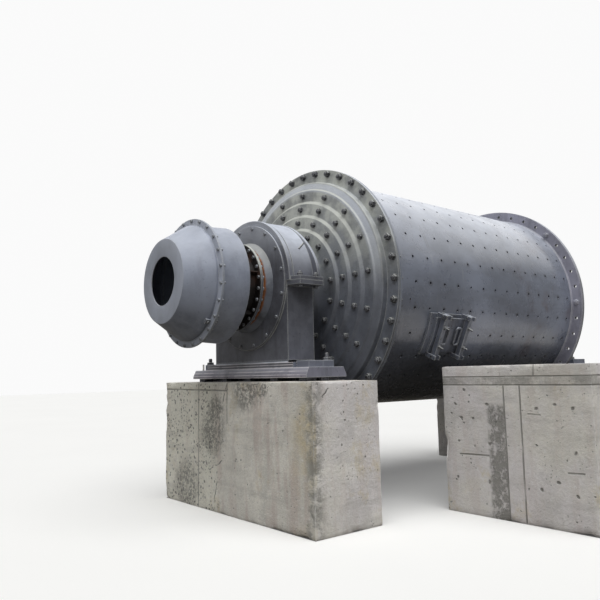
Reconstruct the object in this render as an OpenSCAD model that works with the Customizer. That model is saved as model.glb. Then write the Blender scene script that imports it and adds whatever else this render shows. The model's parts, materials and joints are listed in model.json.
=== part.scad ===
/* [Shell] */
// Outside diameter of the drum shell
shell_d = 2750; // [2400:10:2900]
// Thickness of the shell plate
shell_t = 25; // [16:1:40]
// Length of the shell between the two head joints
shell_len = 3790; // [3700:10:4200]
// Height of the drum axis above ground
axis_h = 2460; // [2400:10:2700]
// Number of rolled plates around the shell
plate_count = 10; // [10:5:10]

/* [Liner bolt holes in the shell] */
// Diameter of a liner bolt hole
liner_hole_d = 32; // [24:1:40]
// Holes in one row along the shell
row_hole_count = 14; // [10:1:14]
// Rows of holes in one rolled plate
row_count = 3; // [2:1:3]
// Distance from the feed joint to the first hole of a row
liner_start = 389; // [300:1:400]
// Distance from the last hole of a row to the gear end joint
liner_end = 151; // [120:1:200]

/* [Flanges] */
// Height of the feed end flanges above the shell
feed_flange_h = 125; // [110:5:150]
// Thickness of the shell flange at the feed end
shell_flange_t = 25; // [20:1:50]
// Height of the gear flange above the shell
gear_flange_h = 155; // [130:5:200]
// Thickness of the gear flange
gear_flange_t = 35; // [25:1:60]
// Thickness of the flange of a head
head_flange_t = 30; // [25:1:50]
// Height of the bolt circle of the flanges above the shell
bolt_circle_h = 75; // [60:1:85]
// Bolts in the flange circle
flange_bolt_count = 40; // [24:4:48]
// Diameter of a fitted bolt hole in the gear flange
flange_hole_d = 45; // [30:1:48]
// Diameter of a clearance hole in the feed shell flange and the heads
head_hole_d = 48; // [45:1:52]
// Turn of the gear flange holes from the top
gear_angle = 2; // [0:0.5:4]
// Leg of the fillet weld between a flange and the shell
weld_leg = 18; // [8:1:24]

/* [Heads and trunnions] */
// Distance from a bearing centre to the head joint
head_depth = 710; // [700:5:760]
// Width of the sloped riser between two bolt ring flats
riser_w = 32; // [20:1:60]
// Radius of the innermost bolt ring
ring_r = 668; // [660:1:680]
// Distance from the outermost bolt ring to the foot of the head
ring_margin = 168; // [150:1:180]
// Distance from the head flange out to the innermost bolt ring
ring_set = 192; // [170:1:200]
// Axial rise from one ring flat to the next
ring_step_x = 30.5; // [20:0.5:34]
// Number of bolt rings on a head
ring_count = 4; // [3:1:4]
// Bolts in one ring
ring_bolt_count = 18; // [12:1:20]
// Diameter of a liner bolt hole in a head
ring_hole_d = 39; // [30:1:42]
// Turn of the ring bolts from the top
ring_angle = 5; // [0:0.5:10]
// Wall of the cast head, measured along the axis
head_wall = 92; // [60:1:100]
// Step from the shell radius down to the foot of a head
foot_step = 35; // [30:1:45]
// Height of the upright foot of a head
foot_h = 67; // [50:1:80]
// Draft of the upright foot of a head
foot_draft = 4; // [0:1:8]
// Radial width of the bead round the outermost flat
bead_w = 14; // [8:1:20]
// Axial drop of the bead round the outermost flat
bead_drop = 17; // [10:1:24]
// Wall of the head at its flange
rim_wall = 40; // [30:1:60]
// Diameter of the trunnion journal
journal_d = 900; // [880:2:920]
// Length of the trunnion journal
journal_len = 310; // [300:2:330]
// Step from the journal down to the neck outside the bearing
neck_step = 25; // [15:1:35]
// Step from the journal up to the shoulder inside the bearing
shoulder_step = 25; // [15:1:30]
// Wall of the trunnion at its neck
trunnion_wall = 45; // [35:1:60]
// Diameter of the flange at the trunnion end
trunnion_flange_d = 974; // [940:2:1000]
// Thickness of the flange at the trunnion end
trunnion_flange_t = 32; // [20:1:40]
// Distance from the bearing centre to the trunnion end
trunnion_reach = 350; // [345:1:420]
// Bolts in the flange at the trunnion end
neck_bolt_count = 24; // [16:1:30]
// Radius of the bolt circle at the trunnion end
neck_bolt_r = 466; // [460:1:470]
// Diameter of a hole in the flange at the trunnion end
neck_hole_d = 22; // [18:1:26]
// Turn of the holes at the trunnion end from the top
neck_angle = 8.2; // [0:0.1:15]
// Wall of the liner tube in a trunnion
liner_tube_t = 20; // [10:1:30]

/* [Drum feeder] */
// Diameter of the feeder mouth
mouth_d = 508; // [400:2:560]
// Outside diameter of the flat ring round the mouth
mouth_ring_d = 878; // [800:2:900]
// Thickness of the feeder plate
feeder_t = 12; // [8:1:20]
// Length of the feeder cone
cone_len = 312; // [250:1:340]
// Length of the straight skirt between the cone and its flange
skirt_len = 25; // [10:1:60]
// Diameter of the bolted feeder flange
feeder_flange_d = 1368; // [1350:2:1400]
// Thickness of each feeder flange
feeder_flange_t = 12; // [8:1:20]
// Bolts in the feeder flange
feeder_bolt_count = 24; // [16:1:30]
// Diameter of a hole in the feeder flange
feeder_hole_d = 22; // [14:1:24]
// Radius of the bolt circle of the feeder flange
feeder_bolt_r = 660; // [650:1:668]
// Turn of the feeder flange holes from the top
feeder_angle = 6.5; // [0:0.5:15]
// Outside diameter of the skirt and of the feeder drum at its flange
skirt_d = 1224; // [1200:2:1260]
// Outside diameter of the feeder drum at its back
feeder_back_d = 1266; // [1240:2:1300]
// Length of the feeder drum
feeder_drum_len = 337; // [300:1:360]
// Diameter of the feeder neck
feeder_neck_d = 800; // [780:2:840]
// Length of the feeder neck
feeder_neck_len = 226; // [200:1:260]
// Ribs along the feeder neck
rib_count = 6; // [4:1:8]
// Turn of the ribs from the top
rib_angle = 15.7; // [0:0.1:30]
// Height of a rib above the feeder neck
rib_h = 62; // [40:1:66]
// Thickness of a rib
rib_t = 12; // [8:1:20]

/* [Bearings] */
// Height of the drum axis above a sole plate
bearing_h = 912; // [900:1:930]
// Width of a bearing housing along the drum
bearing_w = 356; // [340:2:380]
// Reach of the cap and its seat beyond each face of the housing
face_reach = 9; // [4:1:12]
// Width of a bearing housing across the drum
bearing_cross = 1419; // [1412:1:1450]
// Wall of the bush
bush_wall = 50; // [40:1:60]
// Length of the bush along the drum
bush_len = 300; // [280:2:300]
// Running clearance between journal and bush
running_gap = 0.4; // [0.3:0.1:0.6]
// Outside diameter of the bearing cap
cap_d = 1532; // [1500:2:1540]
// Thickness of the round rim on the outer face of the cap
cap_rim_t = 50; // [30:1:60]
// Thickness of the flared rim on the inner face of the cap
flare_t = 40; // [30:1:50]
// Height by which the inner rim flares out at the split
cap_flare = 75; // [60:1:85]
// Depth by which the cap between the rims is smaller
cap_waist = 8; // [4:1:20]
// Width of the groove behind the round rim
groove_w = 20; // [10:1:30]
// Depth of the groove behind the round rim
groove_t = 18; // [12:1:24]
// Half width of the split flanges across the drum
split_half_w = 885; // [860:5:940]
// Length of the tapered corner of a split flange across the drum
split_corner_w = 147; // [100:1:160]
// Depth of the tapered corner of a split flange along the drum
split_corner_x = 40; // [20:1:60]
// Thickness of the split flange of the base
base_split_t = 50; // [30:1:60]
// Thickness of the split flange of the cap
cap_split_t = 40; // [30:1:60]
// Diameter of a split bolt hole
split_hole_d = 39; // [30:1:45]
// Distance of the split bolts from the middle plane of the mill
split_bolt_y = 840; // [832:1:850]
// Distance of the outer split bolts from the bearing centre
split_bolt_out = 105; // [90:1:110]
// Distance of the inner split bolts from the bearing centre
split_bolt_in = 110; // [90:1:112]
// Width of the foot flange along the drum
foot_w = 444; // [400:2:456]
// Width of the foot flange across the drum
foot_cross = 1682; // [1600:2:1760]
// Thickness of the foot flange
foot_t = 56; // [40:1:70]
// Leg of the fillet between the foot flange and the housing
foot_fillet = 22; // [10:1:30]
// Length of the bolting lug at each end of the foot
lug_len = 199; // [180:1:245]
// Thickness of the bolting lug
lug_t = 68; // [50:1:80]
// Reach of the near bolting lug outward from the bearing centre
near_lug_out = 178; // [150:1:178]
// Reach of the far bolting lug outward from the bearing centre
far_lug_out = 130; // [120:1:178]
// Reach of the bolting lugs inward from the bearing centre
lug_in = 159; // [150:1:178]
// Distance of the foundation bolts from the middle plane of the mill
anchor_y = 985; // [950:1:1000]
// Distance of the outer foundation bolts from the bearing centre
anchor_out = 90; // [80:1:100]
// Distance of the inner foundation bolts from the bearing centre
anchor_in = 110; // [80:1:120]
// Diameter of a foundation bolt hole
anchor_hole_d = 52; // [40:1:60]
// Outside diameter of a bearing cover
cover_d = 1410; // [1380:2:1412]
// Gap between a bearing cover and the trunnion shoulder
cover_gap = 25; // [10:1:30]
// Thickness of a bearing cover
cover_t = 18; // [12:1:25]
// Bolts in a bearing cover
cover_bolt_count = 16; // [12:2:20]
// Radius of the bolt circle of a bearing cover
cover_bolt_r = 668; // [660:1:675]
// Length of the seal collar
collar_len = 86; // [60:1:95]
// Gap between the tip of the seal collar and the neck
collar_gap = 13; // [10:1:20]
// Wall of the seal collar
collar_t = 9; // [6:1:12]

/* [Foundations] */
// Half width of the bearing piers across the drum
pier_half_w = 1433; // [1400:1:1500]
// Reach of a pier outward from the bearing centre
pier_out = 475; // [440:5:500]
// Reach of a pier inward from the bearing centre
pier_in = 390; // [350:5:400]
// Height of the shim packs under a sole plate
shim_h = 35; // [20:1:50]
// Width of a shim pack
shim_w = 120; // [80:5:150]
// Distance of the rows of shim packs from the bearing centre
shim_x = 150; // [120:5:180]
// Shim packs in one row
shim_count = 5; // [3:1:7]
// Thickness of a sole plate
sole_t = 103; // [80:1:120]
// Half width of a sole plate across the drum
sole_half_w = 1105; // [1090:1:1120]
// Half width of the top of a sole plate along the drum
sole_top = 232; // [228:1:240]
// Half width of the foot of a sole plate along the drum
sole_foot = 268; // [245:1:270]
// Height of the upright lip of a sole plate
sole_lip = 29; // [20:1:40]
// Height of the drive foundation
drive_h = 1525; // [1400:5:1600]
// Width of the drive foundation across the drum
drive_w = 1662; // [1400:5:1800]
// Distance from the feed bearing to the front of the drive foundation
drive_start = 1390; // [1200:5:1600]

/* [Manhole] */
// Distance of the manhole centre from the feed bearing
manhole_x = 1724; // [1700:2:1740]
// Angle of the manhole from the top of the drum
manhole_angle = 114; // [114:1:114]
// Length of the manhole frame along the drum
frame_len = 740; // [640:5:750]
// Arc of the manhole frame in degrees
frame_angle = 20.6; // [17:0.1:21]
// Thickness of the manhole frame
frame_t = 25; // [15:1:40]
// Length of the opening along the drum
opening_len = 460; // [400:5:500]
// Width of the opening across the drum
opening_w = 340; // [300:5:360]
// Length of the manhole cover along the drum
door_len = 570; // [540:5:600]
// Arc of the manhole cover in degrees
door_angle = 17; // [15:0.5:18]
// Thickness of the manhole cover
door_t = 25; // [15:1:40]
// Distance of a clamp bar from the manhole centre
bar_x = 220; // [200:1:240]
// Width of a clamp bar
bar_w = 60; // [50:1:80]
// Height of a clamp bar
bar_t = 60; // [40:1:70]
// Length of a clamp bar
bar_len = 530; // [500:5:560]
// Height of a clamp bar above the cover
bar_lift = 15; // [10:1:30]
// Diameter of a clamping stud
stud_d = 24; // [16:1:30]
// Distance between the two clamping studs of a bar
stud_pitch = 230; // [200:5:260]
// Length by which a clamping stud stands out of its bar
stud_out = 62; // [40:1:80]
// Thickness of an ear that holds a clamp bar
ear_t = 16; // [12:1:20]
// Width of an ear across the drum
ear_w = 50; // [40:1:60]
// Height of the top of an ear above the top of its clamp bar
ear_rise = 25; // [15:1:40]
// Diameter of the pin through the ears and a clamp bar
pin_d = 24; // [16:1:30]
// Diameter of the small open hole beside the manhole
pilot_hole_d = 20; // [12:1:24]
// Distance of the small open hole from the feed bearing
pilot_x = 1009; // [950:1:1050]
// Angle of the small open hole from the top of the drum
pilot_angle = 98.3; // [98:0.1:99]

/* [Hidden] */
$fn = 144;
shell_r = shell_d / 2;
plate_angle = 360 / plate_count;
plate_start_angle = 96;
liner_pitch = (shell_len - liner_start - liner_end) / (row_hole_count - 1);
feed_flange_r = shell_r + feed_flange_h;
gear_flange_r = shell_r + gear_flange_h;
flange_bolt_r = shell_r + bolt_circle_h;
foot_r = shell_r - foot_step;
ring_step_r = (foot_r - ring_margin - ring_r) / (ring_count - 1);
ring_flat_w = ring_step_r - riser_w;
neck_r = journal_d / 2 - neck_step;
shoulder_r = journal_d / 2 + shoulder_step;
trunnion_bore_r = neck_r - trunnion_wall;
seat_r = journal_d / 2 + bush_wall;
cover_bore_r = shoulder_r + cover_gap;
collar_tip_r = neck_r + collar_gap;
bearing_span = shell_len + 2 * head_depth;
gear_x = bearing_span - head_depth - gear_flange_t;
seat_gap = 0.3;
weld_gap = 0.3;
cut = 2;
bearing_half = bearing_w / 2;
cap_half = bearing_half + face_reach;
foot_z = axis_h - bearing_h;
sole_z = foot_z - sole_t;
pier_h = sole_z - shim_h;
trunnion_end = -trunnion_reach;
neck_back = trunnion_end - feeder_flange_t;
drum_back = neck_back - feeder_neck_len;
drum_front = drum_back - feeder_drum_len;
cone_back = drum_front - feeder_flange_t;
mouth_x = cone_back - cone_len;
fillet_r = ring_r - ring_flat_w / 2 - shoulder_r;
door_r = shell_r + frame_t;
bar_r = door_r + door_t + bar_lift;
ear_y = (bar_len - ear_w) / 2;
pin_len = bar_w + 2 * ear_t + 20;
steel = [0.50, 0.53, 0.57];
concrete = [0.72, 0.70, 0.64];

SHELL_NAMES = [for (i = [1 : plate_count]) str("shell_plate_", i)];

// A body turned about the drum axis, from points of radius and station
module lathe(points) {
    translate([0, 0, axis_h]) rotate([0, 90, 0]) rotate_extrude() polygon(points);
}

// A ring about the drum axis
module ring(x, t, inner_r, outer_r) {
    lathe([[inner_r, x], [outer_r, x], [outer_r, x + t], [inner_r, x + t]]);
}

// Puts a child on the drum at an angle from the top, a station and a radius
module on_drum(turn, x, r) {
    translate([0, 0, axis_h]) rotate([turn, 0, 0]) translate([x, 0, r]) children();
}

// Holes along the drum axis on a circle
module hole_circle(count, turn, r, d, x, t) {
    for (i = [0 : count - 1])
        on_drum(turn + i * 360 / count, x - cut, r) rotate([0, 90, 0]) cylinder(d = d, h = t + 2 * cut, $fn = 24);
}

// Extrudes a child drawn across the drum: its x runs along Y, its y along Z from the axis
module across(x, t) {
    translate([x, 0, axis_h]) rotate([90, 0, 90]) linear_extrude(t) children();
}

// A curved slab on the drum between two angles
module arc_slab(x, len, turn, arc, r, t) {
    translate([0, 0, axis_h]) rotate([turn - arc / 2, 0, 0]) rotate([0, 90, 0]) rotate([0, 0, 180])
        rotate_extrude(angle = arc) translate([r, x]) square([t, len]);
}

// Turns a feed end part round to the discharge end
module at_discharge() {
    translate([bearing_span, 0, 0]) mirror([1, 0, 0]) children();
}

// One rolled plate of the shell with its rows of liner bolt holes
module shell_plate(i) {
    turn = plate_start_angle + plate_angle * (i + 0.5);
    color(steel) difference() {
        arc_slab(head_depth + weld_gap, shell_len - 2 * weld_gap, turn,
            plate_angle - weld_gap / shell_r * 180 / PI, shell_r - shell_t, shell_t);
        for (row = [0 : row_count - 1], k = [0 : row_hole_count - 1])
            liner_hole(turn + plate_angle * ((row + 0.5) / row_count - 0.5), k);
        if (i == 0) {
            manhole_opening();
            shell_hole(pilot_angle, pilot_x, pilot_hole_d);
        }
    }
}

module shell_hole(turn, x, d) {
    on_drum(turn, x, shell_r - shell_t - cut * 10) cylinder(d = d, h = shell_t + cut * 20, $fn = 24);
}

module liner_hole(turn, k) {
    x = head_depth + liner_start + k * liner_pitch;
    under_frame = turn == manhole_angle && abs(x - manhole_x) < frame_len / 2 + liner_pitch / 4;
    if (!under_frame) shell_hole(turn, x, liner_hole_d);
}

module manhole_opening() {
    on_drum(manhole_angle, manhole_x, shell_r - 2 * shell_t)
        linear_extrude(frame_t + 3 * shell_t) square([opening_len, opening_w], center = true);
}

// Flange welded round the shell, from its bolted face x in the direction of side
module shell_flange(x, t, outer_r, side) {
    root = shell_r + weld_gap;
    lathe([[root, x], [outer_r, x], [outer_r, x + side * t], [root + weld_leg, x + side * t],
        [root, x + side * (t + weld_leg)]]);
}

module feed_shell_flange() {
    color(steel) difference() {
        shell_flange(head_depth, shell_flange_t, feed_flange_r, 1);
        hole_circle(flange_bolt_count, 0, flange_bolt_r, head_hole_d, head_depth, shell_flange_t);
    }
}

module gear_flange() {
    color(steel) difference() {
        shell_flange(gear_x + gear_flange_t, gear_flange_t, gear_flange_r, -1);
        hole_circle(flange_bolt_count, gear_angle, flange_bolt_r, flange_hole_d, gear_x, gear_flange_t);
    }
}

// Face station and radius of each bolt ring
function ring_face(k) = head_depth - head_flange_t - ring_set + k * ring_step_x;
function ring_mid(k) = ring_r + k * ring_step_r;

// Cast head with its trunnion: stepped outside, plain cone inside
module head_casting(flange_r, turn) {
    half = ring_flat_w / 2;
    last = ring_count - 1;
    face = head_depth - head_flange_t;
    slope = ring_step_x / ring_step_r;
    fillet = [for (a = [0 : 15 : 90])
        [shoulder_r + fillet_r * (1 - cos(a)), ring_face(0) - fillet_r * (1 - sin(a))]];
    steps = [for (k = [0 : last], side = [-1, 1]) [ring_mid(k) + side * half, ring_face(k)]];
    inner_rim = foot_r - rim_wall;
    back = ring_face(0) + head_wall;
    profile = concat(
        [[trunnion_bore_r, trunnion_end], [trunnion_flange_d / 2, trunnion_end],
         [trunnion_flange_d / 2, trunnion_end + trunnion_flange_t], [neck_r, trunnion_end + trunnion_flange_t],
         [neck_r, -journal_len / 2], [journal_d / 2, -journal_len / 2],
         [journal_d / 2, journal_len / 2], [shoulder_r, journal_len / 2]],
        fillet, [for (i = [1 : len(steps) - 1]) steps[i]],
        [[ring_mid(last) + half + bead_w, ring_face(last) + bead_drop], [foot_r, face - foot_h],
         [foot_r + foot_draft, face], [flange_r, face], [flange_r, head_depth], [inner_rim, head_depth],
         [inner_rim, back + (inner_rim - ring_r) * slope],
         [trunnion_bore_r, back + (trunnion_bore_r - ring_r) * slope]]);
    color(steel) difference() {
        lathe(profile);
        hole_circle(flange_bolt_count, turn, flange_bolt_r, head_hole_d, face, head_flange_t);
        hole_circle(neck_bolt_count, neck_angle, neck_bolt_r, neck_hole_d, trunnion_end, trunnion_flange_t);
        for (k = [0 : last])
            hole_circle(ring_bolt_count, ring_angle, ring_mid(k), ring_hole_d, ring_face(k) - cut, head_wall + 30);
    }
}

module feed_head() {
    head_casting(feed_flange_r, 0);
}

module discharge_head() {
    at_discharge() head_casting(gear_flange_r, gear_angle);
}

// Liner tube in a trunnion
module trunnion_liner() {
    r = trunnion_bore_r - seat_gap;
    inside = ring_face(0) + head_wall;
    color("dimgray") lathe([[r - liner_tube_t, trunnion_end], [r, trunnion_end], [r, inside],
        [r - liner_tube_t, inside]]);
}

module feed_trunnion_liner() {
    trunnion_liner();
}

module discharge_trunnion_liner() {
    at_discharge() trunnion_liner();
}

// Flat ring with the mouth, welded into the front of the cone
module feeder_mouth_ring() {
    color(steel) ring(mouth_x, feeder_t, mouth_d / 2, mouth_ring_d / 2 - feeder_t - weld_gap);
}

// Front of the drum feeder: cone, skirt and bolted flange
module feeder_cone() {
    outer = skirt_d / 2;
    front = cone_back - feeder_flange_t;
    skirt = front - skirt_len;
    color(steel) difference() {
        lathe([[mouth_ring_d / 2 - feeder_t, mouth_x], [mouth_ring_d / 2, mouth_x], [outer, skirt], [outer, front],
            [feeder_flange_d / 2, front], [feeder_flange_d / 2, cone_back], [outer - feeder_t, cone_back],
            [outer - feeder_t, skirt], [mouth_ring_d / 2 - feeder_t, mouth_x + feeder_t]]);
        hole_circle(feeder_bolt_count, feeder_angle, feeder_bolt_r, feeder_hole_d, front, feeder_flange_t);
    }
}

// Rear of the drum feeder: bolted flange and slightly tapered drum
module feeder_drum() {
    front = skirt_d / 2;
    back = feeder_back_d / 2;
    color(steel) difference() {
        lathe([[front - feeder_t, cone_back], [feeder_flange_d / 2, cone_back],
            [feeder_flange_d / 2, drum_front], [front, drum_front], [back, drum_back], [back - feeder_t, drum_back],
            [front - feeder_t, drum_front]]);
        hole_circle(feeder_bolt_count, feeder_angle, feeder_bolt_r, feeder_hole_d, cone_back, feeder_flange_t);
    }
}

// Neck between the feeder and the trunnion, with the back plate of the feeder, its flange and ribs
module feeder_neck() {
    r = feeder_neck_d / 2;
    plate_r = feeder_back_d / 2 - feeder_t - weld_gap;
    taper = (feeder_back_d - skirt_d) / 2 * feeder_t / feeder_drum_len;
    color("dimgray") {
        lathe([[r - feeder_t, drum_back - feeder_t], [plate_r - taper, drum_back - feeder_t], [plate_r, drum_back],
            [r, drum_back], [r, neck_back], [r - feeder_t, neck_back]]);
        difference() {
            ring(neck_back, feeder_flange_t, r - feeder_t, trunnion_flange_d / 2);
            hole_circle(neck_bolt_count, neck_angle, neck_bolt_r, neck_hole_d, neck_back, feeder_flange_t);
        }
        for (i = [0 : rib_count - 1])
            on_drum(rib_angle + i * 360 / rib_count, drum_back, r - feeder_t / 2)
                translate([0, -rib_t / 2, 0]) cube([feeder_neck_len, rib_t, rib_h + feeder_t / 2]);
    }
}

// Raised frame welded round the opening in the shell, with the ears of the clamp bars
module manhole_frame() {
    color(steel) {
        difference() {
            arc_slab(manhole_x - frame_len / 2, frame_len, manhole_angle, frame_angle, shell_r, frame_t);
            manhole_opening();
        }
        difference() {
            for (bar = [-1, 1], side = [-1, 1], end = [-1, 1]) ear(bar, side, end);
            ring(manhole_x - frame_len, 2 * frame_len, 0, shell_r + weld_gap);
            for (bar = [-1, 1], end = [-1, 1]) bar_pin(bar, end, pin_d + 1);
        }
    }
}

// One of the two ears beside an end of a clamp bar
module ear(bar, side, end) {
    x = manhole_x + bar * bar_x + side * (bar_w / 2 + ear_t / 2 + 1);
    on_drum(manhole_angle, x - ear_t / 2, 0)
        translate([0, end * ear_y - ear_w / 2, shell_r - 2 * shell_t])
            cube([ear_t, ear_w, bar_r + bar_t + ear_rise - shell_r + 2 * shell_t]);
}

module bar_pin(bar, end, d) {
    on_drum(manhole_angle, manhole_x + bar * bar_x - pin_len / 2, bar_r + bar_t / 2)
        translate([0, end * ear_y, 0]) rotate([0, 90, 0]) cylinder(d = d, h = pin_len, $fn = 24);
}

module manhole_cover() {
    color(steel) arc_slab(manhole_x - door_len / 2, door_len, manhole_angle, door_angle, door_r + seat_gap,
        door_t - seat_gap);
}

// Two straight bars, pinned between the ears, whose studs press on the cover
module manhole_clamp_bars() {
    near = (stud_pitch - stud_d) / 2;
    stud_foot = sqrt(pow(door_r + door_t, 2) - near * near) + 0.1;
    color(steel) for (bar = [-1, 1]) {
        on_drum(manhole_angle, manhole_x + bar * bar_x, 0) {
            translate([-bar_w / 2, -bar_len / 2, bar_r]) cube([bar_w, bar_len, bar_t]);
            for (side = [-1, 1]) translate([0, side * stud_pitch / 2, stud_foot])
                cylinder(d = stud_d, h = bar_r + bar_t + stud_out - stud_foot, $fn = 24);
        }
        for (end = [-1, 1]) bar_pin(bar, end, pin_d);
    }
}

// Plan of the split flanges, with tapered corners at the outer face
module split_flange(z, t) {
    y = split_half_w - split_corner_w;
    x = -bearing_half + split_corner_x;
    difference() {
        translate([0, 0, z]) linear_extrude(t)
            polygon([[-bearing_half, -y], [x, -split_half_w], [bearing_half, -split_half_w],
                [bearing_half, split_half_w], [x, split_half_w], [-bearing_half, y]]);
        for (side = [-1, 1], bolt_x = [-split_bolt_out, split_bolt_in])
            translate([bolt_x, side * split_bolt_y, z - cut]) cylinder(d = split_hole_d, h = t + 2 * cut, $fn = 32);
    }
}

// Bolting lug at one end of the foot, side -1 is the near one
module foot_lug(side, out) {
    difference() {
        translate([-out, side * (foot_cross + lug_len) / 2 - lug_len / 2, foot_z]) cube([out + lug_in, lug_len, lug_t]);
        for (bolt_x = [-anchor_out, anchor_in]) translate([bolt_x, side * anchor_y, foot_z - cut])
            cylinder(d = anchor_hole_d, h = lug_t + 2 * cut, $fn = 32);
    }
}

// Lower half of a bearing housing, with split flange, foot flange and lugs
module bearing_base() {
    foot_top = foot_z + foot_t;
    toe = bearing_half + foot_fillet;
    color(steel) {
        difference() {
            union() {
                translate([-bearing_half, -bearing_cross / 2, foot_z])
                    cube([bearing_w, bearing_cross, axis_h - foot_z]);
                split_flange(axis_h - base_split_t, base_split_t);
                intersection() {
                    ring(-cap_half, 2 * cap_half, seat_r, cover_d / 2);
                    translate([-cap_half, -cover_d, axis_h - cover_d]) cube([2 * cap_half, 2 * cover_d, cover_d]);
                }
            }
            ring(-bearing_w, 2 * bearing_w, 0, seat_r);
        }
        translate([-foot_w / 2, -foot_cross / 2, foot_z]) cube([foot_w, foot_cross, foot_t]);
        translate([0, bearing_cross / 2, 0]) rotate([90, 0, 0]) linear_extrude(bearing_cross)
            polygon([[-toe, foot_top], [toe, foot_top], [bearing_half, foot_top + foot_fillet],
                [-bearing_half, foot_top + foot_fillet]]);
        foot_lug(-1, near_lug_out);
        foot_lug(1, far_lug_out);
    }
}

// Lower bush shell that carries the journal
module bearing_bush() {
    color("dimgray") intersection() {
        ring(-bush_len / 2, bush_len, journal_d / 2 + running_gap, seat_r);
        translate([-bush_len, -2 * seat_r, axis_h - 2 * seat_r]) cube([2 * bush_len, 4 * seat_r, 2 * seat_r]);
    }
}

// Upper half of a bearing housing: round rim, groove, body and flared rim
module bearing_cap() {
    r = cap_d / 2;
    groove_x = -cap_half + cap_rim_t;
    flare_x = cap_half - flare_t;
    color(steel) difference() {
        union() {
            ring(-cap_half, cap_rim_t, seat_r, r);
            ring(groove_x, groove_w, seat_r, r - groove_t);
            ring(groove_x + groove_w, flare_x - groove_x - groove_w, seat_r, r - cap_waist);
            across(flare_x, flare_t)
                polygon([for (a = [-90 : 3 : 90]) (r + cap_flare * pow(sin(a), 6)) * [sin(a), cos(a)]]);
            split_flange(axis_h, cap_split_t);
        }
        ring(-bearing_w, 2 * bearing_w, 0, seat_r);
        translate([-bearing_w, -cap_d, axis_h - cap_d]) cube([2 * bearing_w, 2 * cap_d, cap_d]);
    }
}

// Ring bolted to a face of the bearing housing
module bearing_cover(x) {
    color(steel) difference() {
        ring(x, cover_t, cover_bore_r, cover_d / 2);
        hole_circle(cover_bolt_count, 180 / cover_bolt_count, cover_bolt_r, feeder_hole_d, x, cover_t);
    }
}

// Conical collar that closes the cover round the turning neck
module seal_collar() {
    foot = cover_bore_r;
    x = -cap_half - cover_t;
    color(steel) lathe([[foot, x], [foot + collar_t, x], [collar_tip_r + collar_t, x - collar_len],
        [collar_tip_r, x - collar_len]]);
}

module feed_bearing_base() {
    bearing_base();
}

module discharge_bearing_base() {
    at_discharge() bearing_base();
}

module feed_bearing_bush() {
    bearing_bush();
}

module discharge_bearing_bush() {
    at_discharge() bearing_bush();
}

module feed_bearing_cap() {
    bearing_cap();
}

module discharge_bearing_cap() {
    at_discharge() bearing_cap();
}

module feed_outer_cover() {
    bearing_cover(-cap_half - cover_t);
}

module feed_inner_cover() {
    bearing_cover(cap_half);
}

module discharge_inner_cover() {
    at_discharge() bearing_cover(cap_half);
}

module discharge_outer_cover() {
    at_discharge() bearing_cover(-cap_half - cover_t);
}

module feed_seal_collar() {
    seal_collar();
}

module discharge_seal_collar() {
    at_discharge() seal_collar();
}

// Sole plate with sloped sides above an upright lip
module sole_plate() {
    color("slategray") translate([0, sole_half_w, sole_z]) rotate([90, 0, 0]) linear_extrude(2 * sole_half_w)
        polygon([[-sole_foot, 0], [sole_foot, 0], [sole_foot, sole_lip], [sole_top, sole_t],
            [-sole_top, sole_t], [-sole_foot, sole_lip]]);
}

module feed_sole_plate() {
    sole_plate();
}

module discharge_sole_plate() {
    at_discharge() sole_plate();
}

// Steel packs that level the sole plate on its pier
module shim_packs() {
    step = 2 * (sole_half_w - shim_w) / (shim_count - 1);
    color("dimgray") for (i = [0 : shim_count - 1], side = [-1, 1])
        translate([side * shim_x - shim_w / 2, shim_w / 2 - sole_half_w + i * step, pier_h])
            cube([shim_w, shim_w, shim_h]);
}

module feed_shim_packs() {
    shim_packs();
}

module discharge_shim_packs() {
    at_discharge() shim_packs();
}

module pier() {
    color(concrete) translate([-pier_out, -pier_half_w, 0]) cube([pier_out + pier_in, 2 * pier_half_w, pier_h]);
}

module feed_pier() {
    pier();
}

module discharge_pier() {
    at_discharge() pier();
}

// Foundation of the drive beside the discharge pier
module drive_foundation() {
    color(concrete) translate([drive_start, -pier_half_w - drive_w, 0])
        cube([bearing_span + pier_out - drive_start, drive_w, drive_h]);
}

for (i = [0 : plate_count - 1])
    shell_plate(i);
feed_shell_flange();
gear_flange();
feed_head();
discharge_head();
feed_trunnion_liner();
discharge_trunnion_liner();
feeder_mouth_ring();
feeder_cone();
feeder_drum();
feeder_neck();
manhole_frame();
manhole_cover();
manhole_clamp_bars();
feed_bearing_base();
discharge_bearing_base();
feed_bearing_bush();
discharge_bearing_bush();
feed_bearing_cap();
discharge_bearing_cap();
feed_outer_cover();
feed_inner_cover();
discharge_inner_cover();
discharge_outer_cover();
feed_seal_collar();
discharge_seal_collar();
feed_sole_plate();
discharge_sole_plate();
feed_shim_packs();
discharge_shim_packs();
feed_pier();
discharge_pier();
drive_foundation();
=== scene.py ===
"""Ball mill on two trunnion bearings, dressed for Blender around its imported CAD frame.

The drum turns about an axis along X. A place on it is a station x, a radius r and a turn, the angle from the
top of the drum towards the near side (-Y). Sizes are in metres.
"""

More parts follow.
